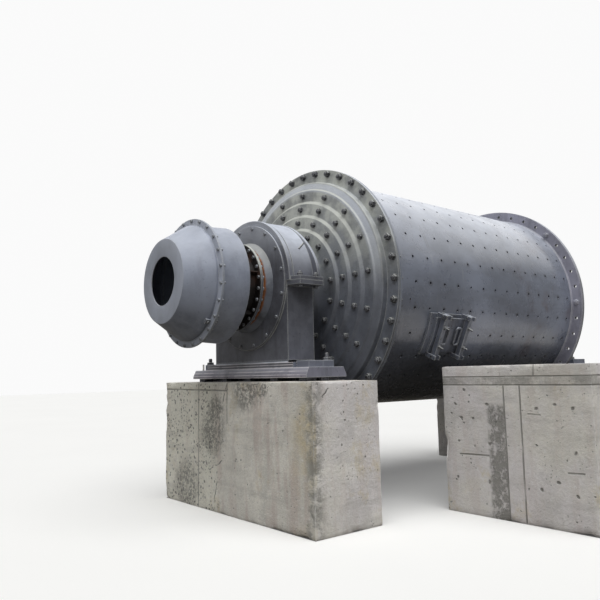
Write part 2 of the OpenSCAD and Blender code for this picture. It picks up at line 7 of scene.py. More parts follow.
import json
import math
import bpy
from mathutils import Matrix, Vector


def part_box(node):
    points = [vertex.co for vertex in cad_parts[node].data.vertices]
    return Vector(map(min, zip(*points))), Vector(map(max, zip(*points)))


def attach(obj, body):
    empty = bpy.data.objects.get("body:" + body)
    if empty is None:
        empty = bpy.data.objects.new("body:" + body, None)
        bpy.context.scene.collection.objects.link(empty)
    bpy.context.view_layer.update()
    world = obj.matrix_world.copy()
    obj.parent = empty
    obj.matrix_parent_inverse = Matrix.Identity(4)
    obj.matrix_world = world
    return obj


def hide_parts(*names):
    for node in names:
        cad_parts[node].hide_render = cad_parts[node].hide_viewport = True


bl_info = {
    "name": "Ball mill",
    "version": (1, 0, 0),
    "blender": (4, 5, 0),
    "location": "3D Viewport > Sidebar > Mill",
    "description": "Builds the visible surfaces, fasteners and finishes of a ball mill",
    "category": "Object",
}

import bmesh
import bpy
import numpy as np
from bpy.props import FloatProperty, FloatVectorProperty, IntProperty, PointerProperty
from mathutils import Matrix, Vector

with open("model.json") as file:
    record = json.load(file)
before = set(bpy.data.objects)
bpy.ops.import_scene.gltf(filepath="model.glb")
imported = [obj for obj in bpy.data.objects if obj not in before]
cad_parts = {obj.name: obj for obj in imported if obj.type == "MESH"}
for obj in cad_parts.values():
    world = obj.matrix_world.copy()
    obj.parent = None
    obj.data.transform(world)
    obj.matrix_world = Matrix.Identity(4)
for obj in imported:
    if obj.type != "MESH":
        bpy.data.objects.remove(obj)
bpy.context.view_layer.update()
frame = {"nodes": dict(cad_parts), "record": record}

DEG = math.pi / 180
FULL = 2 * math.pi
DRUM, FIXED = "drum", "foundation"
MOUNTS = {mount["name"]: mount["pos_m"] for mount in frame["record"]["mounts"]}
AXIS = MOUNTS["feeder_mouth"][2]
SPAN = MOUNTS["discharge_pier_base"][0]
SHELL_R = -MOUNTS["liner_bolts_1"][1]

# Shell, its rows of holes and its flanges
JOINT, GEAR_JOINT = 0.710, 4.500
HEAD_BACK = JOINT - 0.030
FEED_FLANGE_T, GEAR_FLANGE_T = 0.025, 0.035
BOLT_R, FLANGE_BOLTS, FITTED = 1.450, 40, [5, 10]
ROW_START, ROW_HOLES, ROWS = 0.974, 14, 30
PILOT_X, PILOT_TURN = 1.009, 98.3
SCUFFS = [(1.53, 52, 60), (1.40, 60, 73), (1.43, 60, 73), (3.08, 60, 75), (3.56, 63, 68)]
# Rings of bolts on a head
RING_FACE, RING_R, RING_STEP, RING_RISE, RINGS = 0.488, 0.668, 0.168, 0.0305, 4
# Feeder and its neck: stations, then radii
FEEDER_FRONT, FEEDER_JOINT, FEEDER_REAR, FEEDER_BACK = -0.949, -0.937, -0.925, -0.588
FEEDER_IN, FEEDER_OUT, FEEDER_FLANGE_R, FEEDER_BOLT_R = 0.600, 0.612, 0.684, 0.660
NECK_FRONT, NECK_JOINT, TRUNNION_BACK = -0.362, -0.350, -0.318
NECK_IN, NECK_OUT, NECK_FLANGE_R, NECK_BOLT_R = 0.388, 0.400, 0.487, 0.466
LUG_TURN = 135 * DEG
# Manhole: heights are distances from the drum's axis
MANHOLE_X, MANHOLE_TURN = 1.724, 114 * DEG
BARS, BAR_TOP, BAR_END, HANDLE_Y = (-0.220, 0.220), 1.500, 0.265, 0.102
# Bearings
FOOT, LUG_T = AXIS - 0.912, 0.068
SEAT_R, COVER_R, COVER_FACE, COVER_BOLT_R = 0.500, 0.705, 0.205, 0.668
SEAT_HALF, HALF_WIDTH, HALF_LENGTH = 0.187, 0.178, 0.7095
SPLIT_LOW, SPLIT_HIGH, SPLIT_X, SPLIT_Y = 0.050, 0.040, (-0.105, 0.110), 0.840
ANCHOR_X, ANCHOR_Y = (-0.090, 0.110), 0.985
PACKING = [(0.78, 1.09), (0.29, 0.67), (-0.17, 0.16), (-0.66, -0.31), (-1.08, -0.79)]
# Marks on the concrete, as (y, z) on the near pier's or the block's end face
BLOCK_TOP, BLOCK_FACE, PIER_FACE, PIER_SIDE = 1.525, 1.392, -0.473, -1.431
PIER_JOINTS = [((1.42, 1.325), (0.01, 1.318)), ((0.61, 1.395), (0.63, 0.0)), ((0.01, 1.395), (0.01, 0.97))]
PIER_CRACKS = [
    ((0.01, 1.395), (0.145, 1.117)), ((0.145, 1.117), (0.315, 0.936)), ((0.389, 0.450), (0.120, 0.553)),
    ((0.187, 0.445), (0.291, 0.092)),
]
SIDE_CRACK = ((-0.274, PIER_SIDE, 1.328), (-0.355, PIER_SIDE, 1.258))
PIER_MOTTLE = [
    ((-0.36, 1.345), 0.30), ((0.32, 0.85), 0.33), ((0.24, 1.08), 0.22), ((0.90, 0.22), 0.34), ((-0.62, 1.36), 0.16),
]
BLOCK_JOINTS = [
    ((-2.187, 1.325), (-2.187, 0.0)), ((-2.369, 1.325), (-2.363, 0.0)), ((-2.531, 1.520), (-2.525, 1.410)),
    ((-2.450, 1.046), (-2.573, 1.042)), ((-1.626, 0.604), (-1.981, 0.614)), ((-2.820, 0.527), (-2.967, 0.532)),
]
# Tie holes are drawn as dark spots: painted shade in the holes.
TIE_HOLES = [
    (-1.591, 1.126), (-1.994, 1.124), (-1.818, 0.971), (-1.662, 0.988), (-1.615, 0.742), (-1.812, 0.689),
    (-1.583, 0.363), (-2.537, 1.108), (-2.720, 1.156), (-2.910, 1.109), (-2.526, 0.764), (-2.898, 0.709),
    (-2.549, 0.334), (-2.895, 0.325), (-1.718, 1.273), (-1.989, 0.738), (-1.979, 0.355), (-2.725, 0.429),
]


def srgb(red, green, blue):
    """Linear colour of an sRGB colour given in 0 to 255."""
    values = np.array([red, green, blue]) / 255
    return tuple(np.where(values <= 0.04045, values / 12.92, ((values + 0.055) / 1.055) ** 2.4).tolist())


def colour(label, *default):
    return FloatVectorProperty(
        name=label, description=label, subtype="COLOR", size=3, min=0, max=1, default=srgb(*default)
    )


def length(label, default):
    return FloatProperty(name=label, description=label, subtype="DISTANCE", unit="LENGTH", min=0, default=default)


class MillSizes(bpy.types.PropertyGroup):
    """Sizes of the mill that a user would change."""

    shell_wall: length("Thickness of the shell plate", 0.025)
    liner_hole: length("Diameter of a liner bolt hole in the shell", 0.032)
    liner_pitch: length("Spacing of the liner bolt holes along the shell", 0.250)
    machined_edge: length("Rounding of a machined edge", 0.003)
    flange_nut: length("Width across flats of a flange nut", 0.065)
    ring_nut: length("Width across flats of a liner bolt nut on a head", 0.055)
    split_nut: length("Width across flats of a split bolt nut", 0.055)
    anchor_nut: length("Width across flats of a foundation bolt nut", 0.070)
    small_nut: length("Width across flats of a feeder or cover bolt", 0.030)
    handle_rod: length("Diameter of a handle of the manhole cover", 0.024)
    chip: length("Depth of the worn edges of the concrete", 0.014)
    segments: IntProperty(name="Segments", description="Segments round a turned part", min=60, max=360, default=180)


class MillColours(bpy.types.PropertyGroup):
    """Colours of the mill's finishes."""

    paint: colour("Blue-grey paint", 113, 119, 133)
    feeder_paint: colour("Paint of the feeder", 131, 137, 151)
    gear_paint: colour("Paint of the gear flange", 134, 134, 147)
    manhole_paint: colour("Paint of the manhole", 94, 98, 109)
    cast_paint: colour("Paint on the heads", 102, 106, 115)
    bearing_paint: colour("Paint on the bearings", 93, 95, 103)
    plum_paint: colour("Paint of the sole plates", 112, 108, 119)
    # The pale dust is also laid as painted highlight: along edges, and on the tops of bolts.
    dust: colour("Pale dust", 192, 194, 190)
    # The thin film is dust, and also painted light: on the top of the shell and on the upright end faces along X.
    film: colour("Thin film of dust", 204, 210, 222)
    lime: colour("Cream dust on the heads", 203, 206, 199)
    # Grime is also laid as painted shade: under the drum, and in the joint of a head's flange with the shell's flange.
    grime: colour("Grime", 50, 49, 48)
    rust: colour("Rust", 150, 92, 50)
    dark_rust: colour("Old rust", 74, 44, 28)
    # The unpainted inside also fills the painted shade of the pilot hole on the shell.
    interior: colour("Unpainted inside", 24, 21, 20)
    bolt: colour("Dark bolts", 72, 73, 78)
    bright: colour("Bright steel", 178, 176, 172)
    concrete: colour("Concrete", 246, 243, 234)
    damp: colour("Dark patches of the concrete", 164, 162, 156)
    stain: colour("Warm streaks on the concrete", 208, 190, 182)
    ochre: colour("Ochre stains on the concrete", 212, 196, 152)
    lilac: colour("Cool tone of the cast faces", 240, 236, 237)
    cream: colour("Pale part of the near pier", 252, 251, 236)
    floor: colour("Floor", 240, 240, 238)
    ground: colour("Light that the floor throws back", 114, 110, 103)


def on_drum(x, r, turn):
    """Points at station x, radius r and turn in radians: (x, -r sin turn, axis + r cos turn)."""
    return np.stack(np.broadcast_arrays(x, -r * np.sin(turn), AXIS + r * np.cos(turn)), -1)


def at_discharge(points):
    """Turns points of the feed end round to the discharge end: x becomes span - x."""
    return np.asarray(points, float) * [-1, 1, 1] + [SPAN, 0, 0]


ENDS = (("feed_", np.asarray), ("discharge_", at_discharge))


def moved(parts, move):
    """Parts of (points, faces) with their points moved."""
    return [(move(points), faces) for points, faces in parts]


def even_turns(count):
    """Even turns round a circle, in radians."""
    return np.arange(count) * FULL / count


def unit(vectors):
    """Vectors drawn out or in to length 1."""
    return vectors / np.linalg.norm(vectors, axis=-1, keepdims=True)


def hoops(first, second, angle):
    """A circle of directions at each point: first cos angle + second sin angle."""
    return first[:, None] * np.cos(angle)[..., None] + second[:, None] * np.sin(angle)[..., None]


def grid_faces(rows, cols, close_rows=False, close_cols=False):
    """Quads between the neighbours of a grid of rows x cols points, closed round either way if asked."""
    i, j = np.meshgrid(
        np.arange(rows if close_rows else rows - 1), np.arange(cols if close_cols else cols - 1), indexing="ij"
    )
    down, right = (i + 1) % rows, (j + 1) % cols
    return np.stack([i * cols + j, i * cols + right, down * cols + right, down * cols + j], -1).reshape(-1, 4)


def rounded(points, radius, steps=3, closed=True):
    """Rounds the corners of an outline in its first two columns; further columns follow.

    Each corner becomes a quadratic curve that starts and ends `radius` from it, or 0.45 of the shorter side.
    """
    points = np.asarray(points, float)
    before, after = np.roll(points, 1, 0), np.roll(points, -1, 0)
    near = np.maximum(np.linalg.norm((before - points)[:, :2], axis=1, keepdims=True), 1e-9)
    far = np.maximum(np.linalg.norm((after - points)[:, :2], axis=1, keepdims=True), 1e-9)
    cut = np.minimum(np.reshape(radius, (-1, 1)) + np.zeros_like(near), 0.45 * np.minimum(near, far))
    start, end = points + (before - points) * cut / near, points + (after - points) * cut / far
    t = np.linspace(0, 1, steps + 1)[None, :, None]
    curve = (1 - t) ** 2 * start[:, None] + 2 * t * (1 - t) * points[:, None] + t**2 * end[:, None]
    if closed:
        return curve.reshape(-1, points.shape[1])
    return np.concatenate([points[:1], curve[1:-1].reshape(-1, points.shape[1]), points[-1:]])


def lathe(profile, turns, closed=True, wrap=True, lids=False):
    """Carries a profile of (radius, station) points round the drum axis through the given turns.

    A third column is the flare: the radius grows by flare * sin(turn) ** 6, most at the sides.
    """
    profile = np.asarray(profile, float)
    rows, cols = len(profile), len(turns)
    flare = profile[:, 2:3] if profile.shape[1] > 2 else 0.0
    radius = profile[:, :1] + flare * np.sin(turns)[None, :] ** 6
    faces = grid_faces(rows, cols, closed, wrap).tolist()
    if lids:
        ends = np.arange(rows) * cols
        faces += [ends.tolist()[::-1], (ends + cols - 1).tolist()]
    return on_drum(profile[:, 1:2], radius, np.asarray(turns)[None, :]), faces


def turned(profile, radius=0.0):
    """A closed turned body with rounded corners."""
    return lathe(rounded(profile, radius), even_turns(bpy.context.scene.mill_sizes.segments))


def prism(outline, low, high, place):
    """A straight body over an outline between two heights; place turns (u, v, height) into a point of the mill."""
    outline = np.asarray(outline, float)
    count = len(outline)
    u, v = np.tile(outline[:, 0], (2, 1)), np.tile(outline[:, 1], (2, 1))
    height = np.repeat([[low], [high]], count, 1)
    faces = grid_faces(2, count, False, True).tolist()
    return place(u, v, height), faces + [list(range(count))[::-1], list(range(count, 2 * count))]


def flat(*order):
    """A plane of the mill: which of u, v and height become x, y and z."""
    return lambda *parts: np.stack([parts[k] for k in order], -1)


flat_up, flat_along, flat_across = flat(0, 1, 2), flat(2, 0, 1), flat(0, 2, 1)


def square(turn, station=0.0):
    """Plane square to the radius at a turn: x from the station, y round the drum, height from the axis."""
    sin, cos = math.sin(turn), math.cos(turn)
    return lambda x, y, height: np.stack(
        np.broadcast_arrays(station + x, -cos * y - sin * height, AXIS - sin * y + cos * height), -1)


def box(x0, x1, y0, y1, z0, z1, place=flat_up):
    """A box between two corners."""
    return prism([(x0, y0), (x1, y0), (x1, y1), (x0, y1)], z0, z1, place)


def curved_plate(x0, x1, turn0, turn1, inner, outer, edge):
    """A plate that lies on the drum; towards its border the height falls by a quarter round of radius `edge`."""
    border = np.array([0, 0.3, 1.0]) * edge

    def samples(low, high, count, scale):
        inside = np.linspace(low + edge / scale, high - edge / scale, count)[1:-1]
        return np.concatenate([low + border / scale, inside, (high - border / scale)[::-1]])

    xs, turns = samples(x0, x1, 7, 1), samples(turn0, turn1, 25, outer)
    near_x = np.minimum(xs - x0, x1 - xs)[:, None]
    near_y = np.minimum(turns - turn0, turn1 - turns)[None, :] * outer
    gap = np.clip(edge - np.minimum(near_x, near_y), 0, edge)
    top = outer - edge + np.sqrt(edge**2 - gap**2)
    x, turn = np.meshgrid(xs, turns, indexing="ij")
    rows, cols = top.shape
    ring = np.concatenate([
        np.arange(cols), np.arange(1, rows) * cols + cols - 1,
        (rows - 1) * cols + np.arange(cols - 2, -1, -1), np.arange(rows - 2, 0, -1) * cols,
    ])
    following, count = np.roll(ring, -1), rows * cols
    sides = np.stack([ring, following, following + count, ring + count], -1)
    faces = np.concatenate([grid_faces(rows, cols), grid_faces(rows, cols)[:, ::-1] + count, sides])
    return np.stack([on_drum(x, top, turn), on_drum(x, inner, turn)]), faces.tolist()


def pierced(centres, half, hole, opened, sheets, side=6, bands=3):
    """A wall of rectangular cells between two sheets, each with a round hole in its middle.

    The border of a cell has 4 * side points. Each is joined to the point of the circle in the same direction,
    with `bands` even steps between. A sheet is (place, circle): circle turns an offset in metres from a hole's
    centre into the sheet's own two coordinates, and place turns those into a point of the mill. An opened hole
    gets a wall from sheet to sheet, a closed one a lid on both.
    """
    t, one = np.arange(side) * 2 / side - 1, np.ones(side)
    border = np.concatenate([np.stack(pair, -1) for pair in ((t, -one), (one, t), (-t, one), (-one, -t))])
    angle = np.arctan2(border[:, 1], border[:, 0])
    blend = np.linspace(0, 1, bands + 1)[None, :, None, None]
    edge = centres[:, None, :] + border[None] * half
    count, cols, rows = len(centres), 4 * side, bands + 1
    offset = (np.arange(count) * rows * cols)[:, None, None]
    shift = count * rows * cols
    points, faces = [], []
    for sheet, (place, circle) in enumerate(sheets):
        rim = circle(centres[:, None, :], hole / 2 * np.cos(angle)[None], hole / 2 * np.sin(angle)[None])
        chart = edge[:, None] * (1 - blend) + rim[:, None] * blend
        points.append(place(chart[..., 0], chart[..., 1]).reshape(-1, 3))
        faces += (grid_faces(rows, cols, False, True)[None] + offset + sheet * shift).reshape(-1, 4).tolist()
    rims = np.arange(count)[:, None] * rows * cols + (rows - 1) * cols + np.arange(cols)[None]
    free, shut = rims[opened], rims[~opened]
    walls = np.stack([free, np.roll(free, -1, 1), np.roll(free, -1, 1) + shift, free + shift], -1)
    return np.concatenate(points), faces + walls.reshape(-1, 4).tolist() + shut.tolist() + (shut + shift).tolist()


def cylinder_sheet(r):
    """Chart of a cylinder about the drum axis in station and turn."""

    def circle(centre, dx, dy):
        return np.stack(np.broadcast_arrays(centre[..., 0] + dx, centre[..., 1] + np.arcsin(dy / r)), -1)

    return lambda x, turn: on_drum(x, r, turn), circle


def disc_sheet(x):
    """Chart of a plane square to the drum axis in radius and turn."""

    def circle(centre, dx, dy):
        radial = centre[..., 0] + dx
        return np.stack(np.broadcast_arrays(np.hypot(radial, dy), centre[..., 1] + np.arctan2(dy, radial)), -1)

    return lambda r, turn: on_drum(x, r, turn), circle


def holed_box(span_x, span_y, bolt, radius, low, high, side=6):
    """A box with one round hole down through it, anywhere in its plan.

    The border has 4 * side points; each is joined to the point of the circle in the same direction from the hole.
    """
    corners = np.array([(x, y) for x, y in zip((*span_x, *span_x[::-1]), np.repeat(span_y, 2))])
    t = (np.arange(side) / side)[None, :, None]
    border = (corners[:, None] + (np.roll(corners, -1, 0) - corners)[:, None] * t).reshape(-1, 2)
    circle = bolt + radius * unit(border - bolt)
    loops = [(circle, low), (border, low), (border, high), (circle, high)]
    points = np.stack([np.column_stack([loop, np.full(4 * side, z)]) for loop, z in loops])
    return points, grid_faces(4, 4 * side, True, True).tolist()


def rod(path, radius, sides=12):
    """A round bar along a path: at each point a circle stands square to the path's direction."""
    path = np.asarray(path, float)
    forward = unit(np.gradient(path, axis=0))
    first = unit(np.cross(forward, [1.0, 0, 0] if abs(forward[0, 0]) < 0.9 else [0, 1.0, 0]))
    ring = hoops(first, np.cross(forward, first), even_turns(sides)[None])
    faces = grid_faces(len(path), sides, False, True).tolist()
    last = (len(path) - 1) * sides
    return path[:, None] + ring * radius, faces + [list(range(sides))[::-1], list(range(last, last + sides))]


def ring_rod(path, radius, sides=10):
    """A closed loop of round bar: at each point a circle stands square to the chord between its neighbours."""
    forward = unit(np.roll(path, -1, 0) - np.roll(path, 1, 0))
    middle = path.mean(0)
    up = unit(np.cross(path[0] - middle, path[len(path) // 4] - middle))[None]
    ring = hoops(np.cross(forward, up), up, even_turns(sides)[None])
    return path[:, None] + ring * radius, grid_faces(len(path), sides, True, True).tolist()


def fasteners(places, rows, sides=12):
    """Many like fasteners in one mesh.

    `rows` is the profile: (kind, radius, height), where a hex row's radius is half its width across flats and
    grows by 1 / cos of the angle from the middle of a flat. `places` is (feet, directions). Each copy is turned
    about its own axis by a seeded random angle.
    """
    feet, directions = (np.atleast_2d(np.asarray(part, float)) for part in places)
    directions = unit(np.broadcast_to(directions, feet.shape))
    a = even_turns(sides)
    flats = 1 / np.cos((a % (math.pi / 3)) - math.pi / 6)
    radius = np.array([r * (flats if kind == "hex" else np.ones(sides)) for kind, r, _ in rows])
    height = np.array([h for _, _, h in rows])
    helper = np.where(np.abs(directions[:, :1]) < 0.9, [[1.0, 0, 0]], [[0, 1.0, 0]])
    first = unit(np.cross(helper, directions))
    angle = a[None, :] + np.random.default_rng(len(feet)).uniform(0, FULL, (len(feet), 1))
    ring = hoops(first, np.cross(directions, first), angle)
    points = feet[:, None, None] + ring[:, None] * radius[None, :, :, None]
    points = points + directions[:, None, None] * height[None, :, None, None]
    count, levels = len(feet), len(rows)
    starts = np.arange(count) * levels * sides
    faces = (grid_faces(levels, sides, False, True)[None] + starts[:, None, None]).reshape(-1, 4).tolist()
    lids = starts[:, None] + np.arange(sides)[None]
    return points, faces + lids[:, ::-1].tolist() + (lids + (levels - 1) * sides).tolist()


def nut(across, height, washer=True, stud=0.0):
    """Profile rows of a nut on its washer, with a stud that stands `stud` above it."""
    half, base = across / 2, across * 0.07 if washer else 0.0
    rows = [("round", half * 1.3, 0.0), ("round", half * 1.3, base)] if washer else []
    rows += [("hex", half, base), ("hex", half, base + height * 0.88), ("round", half * 0.96, base + height)]
    if stud:
        pin = across * 0.31
        rows += [("round", pin, base + height), ("round", pin, base + height + stud * 0.8),
                 ("round", pin * 0.75, base + height + stud)]
    return rows


def ring_places(count, turn, r, x, direction, kept=None):
    """Feet and directions of fasteners on a circle; turn and spacing in degrees."""
    kept = np.arange(count) if kept is None else np.asarray(kept)
    return on_drum(x, r, (turn + kept * 360 / count) * DEG), [float(direction), 0, 0]


def both_ends(places):
    """Places at the feed end and their mirror at the discharge end."""
    feet, directions = (np.atleast_2d(np.asarray(part, float)) for part in places)
    directions = np.broadcast_to(directions, feet.shape)
    return np.concatenate([feet, at_discharge(feet)]), np.concatenate([directions, directions * [-1, 1, 1]])


def wander(points, size, seed, waves=20):
    """Smooth noise in about -1 to 1: a sum of sines in random directions, with lengths near `size`."""
    rng = np.random.default_rng(seed)
    wave = rng.normal(size=(waves, 3))
    wave *= (rng.uniform(0.6, 1.7, (waves, 1)) * FULL / size) / np.linalg.norm(wave, axis=1, keepdims=True)
    return np.sin(points @ wave.T + rng.uniform(0, FULL, waves)).sum(-1) / math.sqrt(waves / 2) / 1.6


def piece(name, parts, finish, body, replaces=(), bevel=0.0, sharp=32):
    """Joins parts of (points, faces) into one piece that rides on a body, with its faces turned outwards."""
    points, faces, start = [], [], 0
    for part_points, part_faces in parts:
        part_points = np.reshape(part_points, (-1, 3))
        faces += [[start + k for k in face] for face in part_faces]
        points.append(part_points)
        start += len(part_points)
    mesh = bpy.data.meshes.new(name)
    mesh.from_pydata(np.concatenate(points).tolist(), [], faces)
    shape = bmesh.new()
    shape.from_mesh(mesh)
    bmesh.ops.remove_doubles(shape, verts=shape.verts, dist=2e-6)
    bmesh.ops.recalc_face_normals(shape, faces=shape.faces)
    shape.to_mesh(mesh)
    shape.free()
    mesh.shade_smooth()
    mesh.set_sharp_from_angle(angle=sharp * DEG)
    mesh.materials.append(finish_named(finish))
    made = bpy.data.objects.new(name, mesh)
    bpy.context.scene.collection.objects.link(made)
    if bevel:
        edge = made.modifiers.new("Rounded edges", "BEVEL")
        edge.width, edge.segments, edge.limit_method, edge.angle_limit = bevel, 2, "ANGLE", 30 * DEG
        edge.harden_normals = True
    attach(made, body)
    if replaces:
        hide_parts(*replaces)


def pair(name, parts, finish, bevel=0.0):
    """The same fixed part at both ends, each in place of its CAD node."""
    for end, move in ENDS:
        piece(end + name + "_body", moved(parts, move), finish, FIXED, [end + name], bevel)


def dress(node, finish):
    """Gives a CAD node that stays visible its finish."""
    mesh = frame["nodes"][node].data
    mesh.materials.clear()
    mesh.materials.append(finish_named(finish))


class Value:
    """One socket of a shader, on which Python arithmetic adds Math nodes."""

    def __init__(self, nodes, socket):
        self.nodes, self.socket = nodes, socket

    def __add__(self, other):
        return self.nodes.math("ADD", self, other)

    def __sub__(self, other):
        return self.nodes.math("SUBTRACT", self, other)

    def __rsub__(self, other):
        return self.nodes.math("SUBTRACT", other, self)

    def __mul__(self, other):
        return self.nodes.math("MULTIPLY", self, other)

    def __truediv__(self, other):
        return self.nodes.math("DIVIDE", self, other)

    def __abs__(self):
        return self.nodes.math("ABSOLUTE", self)


class Nodes:
    """A node tree that is written as Python expressions."""

    def __init__(self, tree):
        self.tree = tree

    def node(self, kind, settings=None, inputs=None, out=0):
        """Adds a node: its settings first, then its sockets, each a number, a colour or a Value."""
        made = self.tree.nodes.new("ShaderNode" + kind)
        for key, value in (settings or {}).items():
            setattr(made, key, value)
        for key, value in (inputs or {}).items():
            if isinstance(value, Value):
                self.tree.links.new(value.socket, made.inputs[key])
            else:
                made.inputs[key].default_value = value
        return Value(self, made.outputs[out])

    def math(self, operation, a, b=0.0):
        return self.node("Math", {"operation": operation}, {0: a, 1: b})

    def vector(self, operation, a, b=(0.0, 0.0, 0.0), out=0):
        return self.node("VectorMath", {"operation": operation}, {0: a, 1: b}, out)

    def axes(self, vector):
        return [self.node("SeparateXYZ", {}, {0: vector}, axis) for axis in range(3)]

    def step(self, value, low, high):
        """Smooth step of a value from 0 at low to 1 at high."""
        inputs = {"Value": value, "From Min": low, "From Max": high}
        return self.node("MapRange", {"interpolation_type": "SMOOTHSTEP"}, inputs)

    def until(self, value, low, high):
        """Smooth step of a value from 1 at low to 0 at high."""
        return 1.0 - self.step(value, low, high)

    def near(self, value, middle, low, high):
        """1 where a value is within `low` of the middle one, 0 beyond `high` from it."""
        return self.until(abs(value - middle), low, high)

    def reach(self, a, b):
        """Distance of the point (a, b) from zero."""
        return self.math("SQRT", a * a + b * b)

    def most(self, masks):
        """The highest of several masks."""
        top = masks[0]
        for mask in masks[1:]:
            top = self.math("MAXIMUM", top, mask)
        return top


class Finish(Nodes):
    """A material. Colours and bumps are laid on it one over the other, and end() closes it."""

    def __init__(self, name):
        self.tones = bpy.context.scene.mill_colours
        self.material = bpy.data.materials.new(name)
        self.material.use_nodes = True
        super().__init__(self.material.node_tree)
        self.tree.nodes.clear()
        self.place = self.node("TexCoord", out="Object")
        self.facing = self.node("TexCoord", out="Normal")
        self.base = self.skin = None

    def noise(self, scale, detail=3.0, rough=0.5, stretch=None):
        """Noise of about 0.25 to 0.75; stretch scales the pattern's frequency along each axis."""
        where = self.vector("MULTIPLY", self.place, stretch) if stretch else self.place
        return self.node("TexNoise", {}, {"Vector": where, "Scale": scale, "Detail": detail, "Roughness": rough})

    def cloud(self, scale, low=0.38, high=0.62, detail=5.0, rough=0.6, stretch=None):
        """Noise drawn out to the whole range from 0 to 1."""
        return self.step(self.noise(scale, detail, rough, stretch), low, high)

    def stroke(self, start, end, width, place=None):
        """1 on the straight line between two points, 0 beyond `width` from it."""
        run = np.subtract(end, start)
        away = self.vector("SUBTRACT", place or self.place, tuple(start))
        share = self.node("Clamp", {}, {"Value": self.vector("DOT_PRODUCT", away, (run / (run @ run)).tolist(), 1)})
        foot = self.node("VectorMath", {"operation": "SCALE"}, {0: run.tolist(), "Scale": share})
        return self.until(self.vector("LENGTH", self.vector("SUBTRACT", away, foot), out=1), 0.3 * width, width)

    def spot(self, centre, radius, place=None):
        """1 at a point, 0 beyond `radius` from it."""
        return self.until(self.vector("DISTANCE", place or self.place, tuple(centre), 1), 0.45 * radius, radius)

    def edges(self, width):
        """1 on edges, where the normal averaged over `width` turns away from the surface's own. The finishes lighten
        it: wear, and partly painted highlight.
        """
        soft, own = self.node("Bevel", {"samples": 4}, {"Radius": width}), self.node("NewGeometry", out="Normal")
        return self.step(1.0 - self.vector("DOT_PRODUCT", soft, own, 1), 0.006, 0.12)

    def chart(self):
        """Station, height above the axis, radius and turn (0 to 1 round the drum) of each point."""
        x, y, z = self.axes(self.place)
        up = z - AXIS
        return x, up, self.reach(y, up), self.math("FRACT", self.math("ARCTAN2", y * -1.0, up) / FULL + 1.0)

    def tone(self, colour, factor=1.0):
        """A colour times a factor. It is given in numbers or by its name in the mill's colours."""
        colour = getattr(self.tones, colour) if isinstance(colour, str) else colour
        return tuple(min(c * factor, 1.0) for c in colour)

    def mix(self, mask, a, b):
        """Colour a where the mask is 0 and b where it is 1."""
        tones = {key: tone if isinstance(tone, Value) else (*self.tone(tone), 1.0) for key, tone in ((6, a), (7, b))}
        return self.node("Mix", {"data_type": "RGBA"}, {0: mask, **tones}, out=2)

    def start(self, tone, dark, light, amount):
        """The first colour: it drifts between darker and lighter forms of a tone."""
        self.base = self.mix(amount, self.tone(tone, dark), self.tone(tone, light))

    def lay(self, mask, tone):
        """Lays a colour over the finish where the mask is 1."""
        self.base = self.mix(mask, self.base, tone)

    def dusty(self, amount, low, high, tone="dust"):
        """Lays dust where the surface faces up, broken by noise, and gives its share. The paler tops are partly painted
        light from above.
        """
        up = self.axes(self.facing)[2]
        cover = self.step(up, low, high) * (self.cloud(3.2, 0.3, 0.66) * 0.34 + 0.62) * amount
        self.lay(cover, tone)
        return cover

    def rise(self, height, distance, strength):
        """Adds a bump to the skin, `distance` high where the height is 1."""
        under = {"Normal": self.skin} if self.skin else {}
        self.skin = self.node("Bump", {}, {"Height": height, "Distance": distance, "Strength": strength, **under})

    def end(self, roughness, metallic=0.0, gloss=0.4, more=None):
        """Closes the material with a Principled surface."""
        surface = self.node("BsdfPrincipled", {}, {
            "Base Color": self.base, "Roughness": roughness, "Normal": self.skin, "Metallic": metallic,
            "Specular IOR Level": gloss, **(more or {}),
        })
        out = self.tree.nodes.new("ShaderNodeOutputMaterial")
        self.tree.links.new(surface.socket, out.inputs["Surface"])


def limed(finish, tone, dust):
    """Cream dust splashed over the upper part of a head, whose foot and rim keep a thin film; painted shade darkens the
    lower part of the head and the joint with the shell's flange. Gives its share.
    """
    x, up, radius, _ = finish.chart()
    high = finish.step(up, -0.25, 0.95)
    finish.lay((finish.cloud(3.4) * 0.6 + 0.35) * high * 0.9, "lime")
    foot = finish.step(radius, 1.20, 1.25) * finish.until(radius, 1.31, 1.34)
    finish.lay(foot * high * 0.8, "film")
    # Painted shade: the head darkens towards its lower part, inside its rim.
    finish.lay(finish.until(up, -0.8, 0.3) * finish.until(radius, 1.30, 1.36) * 0.45, finish.tone(tone, 0.4))
    rim = finish.step(radius, 1.33, 1.36)
    cover = finish.dusty(dust, 0.1, 0.6, finish.mix(rim, "lime", "film"))
    # Painted shade: a dark line in the grime colour where the head's flange meets the shell's flange.
    inner = SPAN / 2 - abs(x - SPAN / 2)
    finish.lay(finish.step(inner, JOINT - 0.009, JOINT - 0.004) * rim * 0.8, "grime")
    return cover


def worn_and_highlit_lines(finish, heights, half):
    """Light lines along the edges at some levels, partly wear and partly painted highlight, on the faces along Y, as
    far as `half` from the middle plane.

    Beyond it, and on the end faces, the paint is whole and lighter.
    """
    _, y, z = finish.axes(finish.place)
    worn = finish.most([finish.near(z, height, 0.002, 0.007) for height in heights])
    end = finish.step(abs(finish.axes(finish.facing)[1]), 0.4, 0.6)
    whole = finish.most([end, finish.step(abs(y), half, half + 0.01)]) * finish.until(z, heights[0], heights[0] + 0.03)
    finish.lay(whole * 0.5, "paint")
    # The light lines: wear, and partly painted highlight.
    finish.lay(worn * (1.0 - whole) * (finish.cloud(5, 0.36, 0.5) * 0.6 + 0.3), (0.62, 0.60, 0.63))


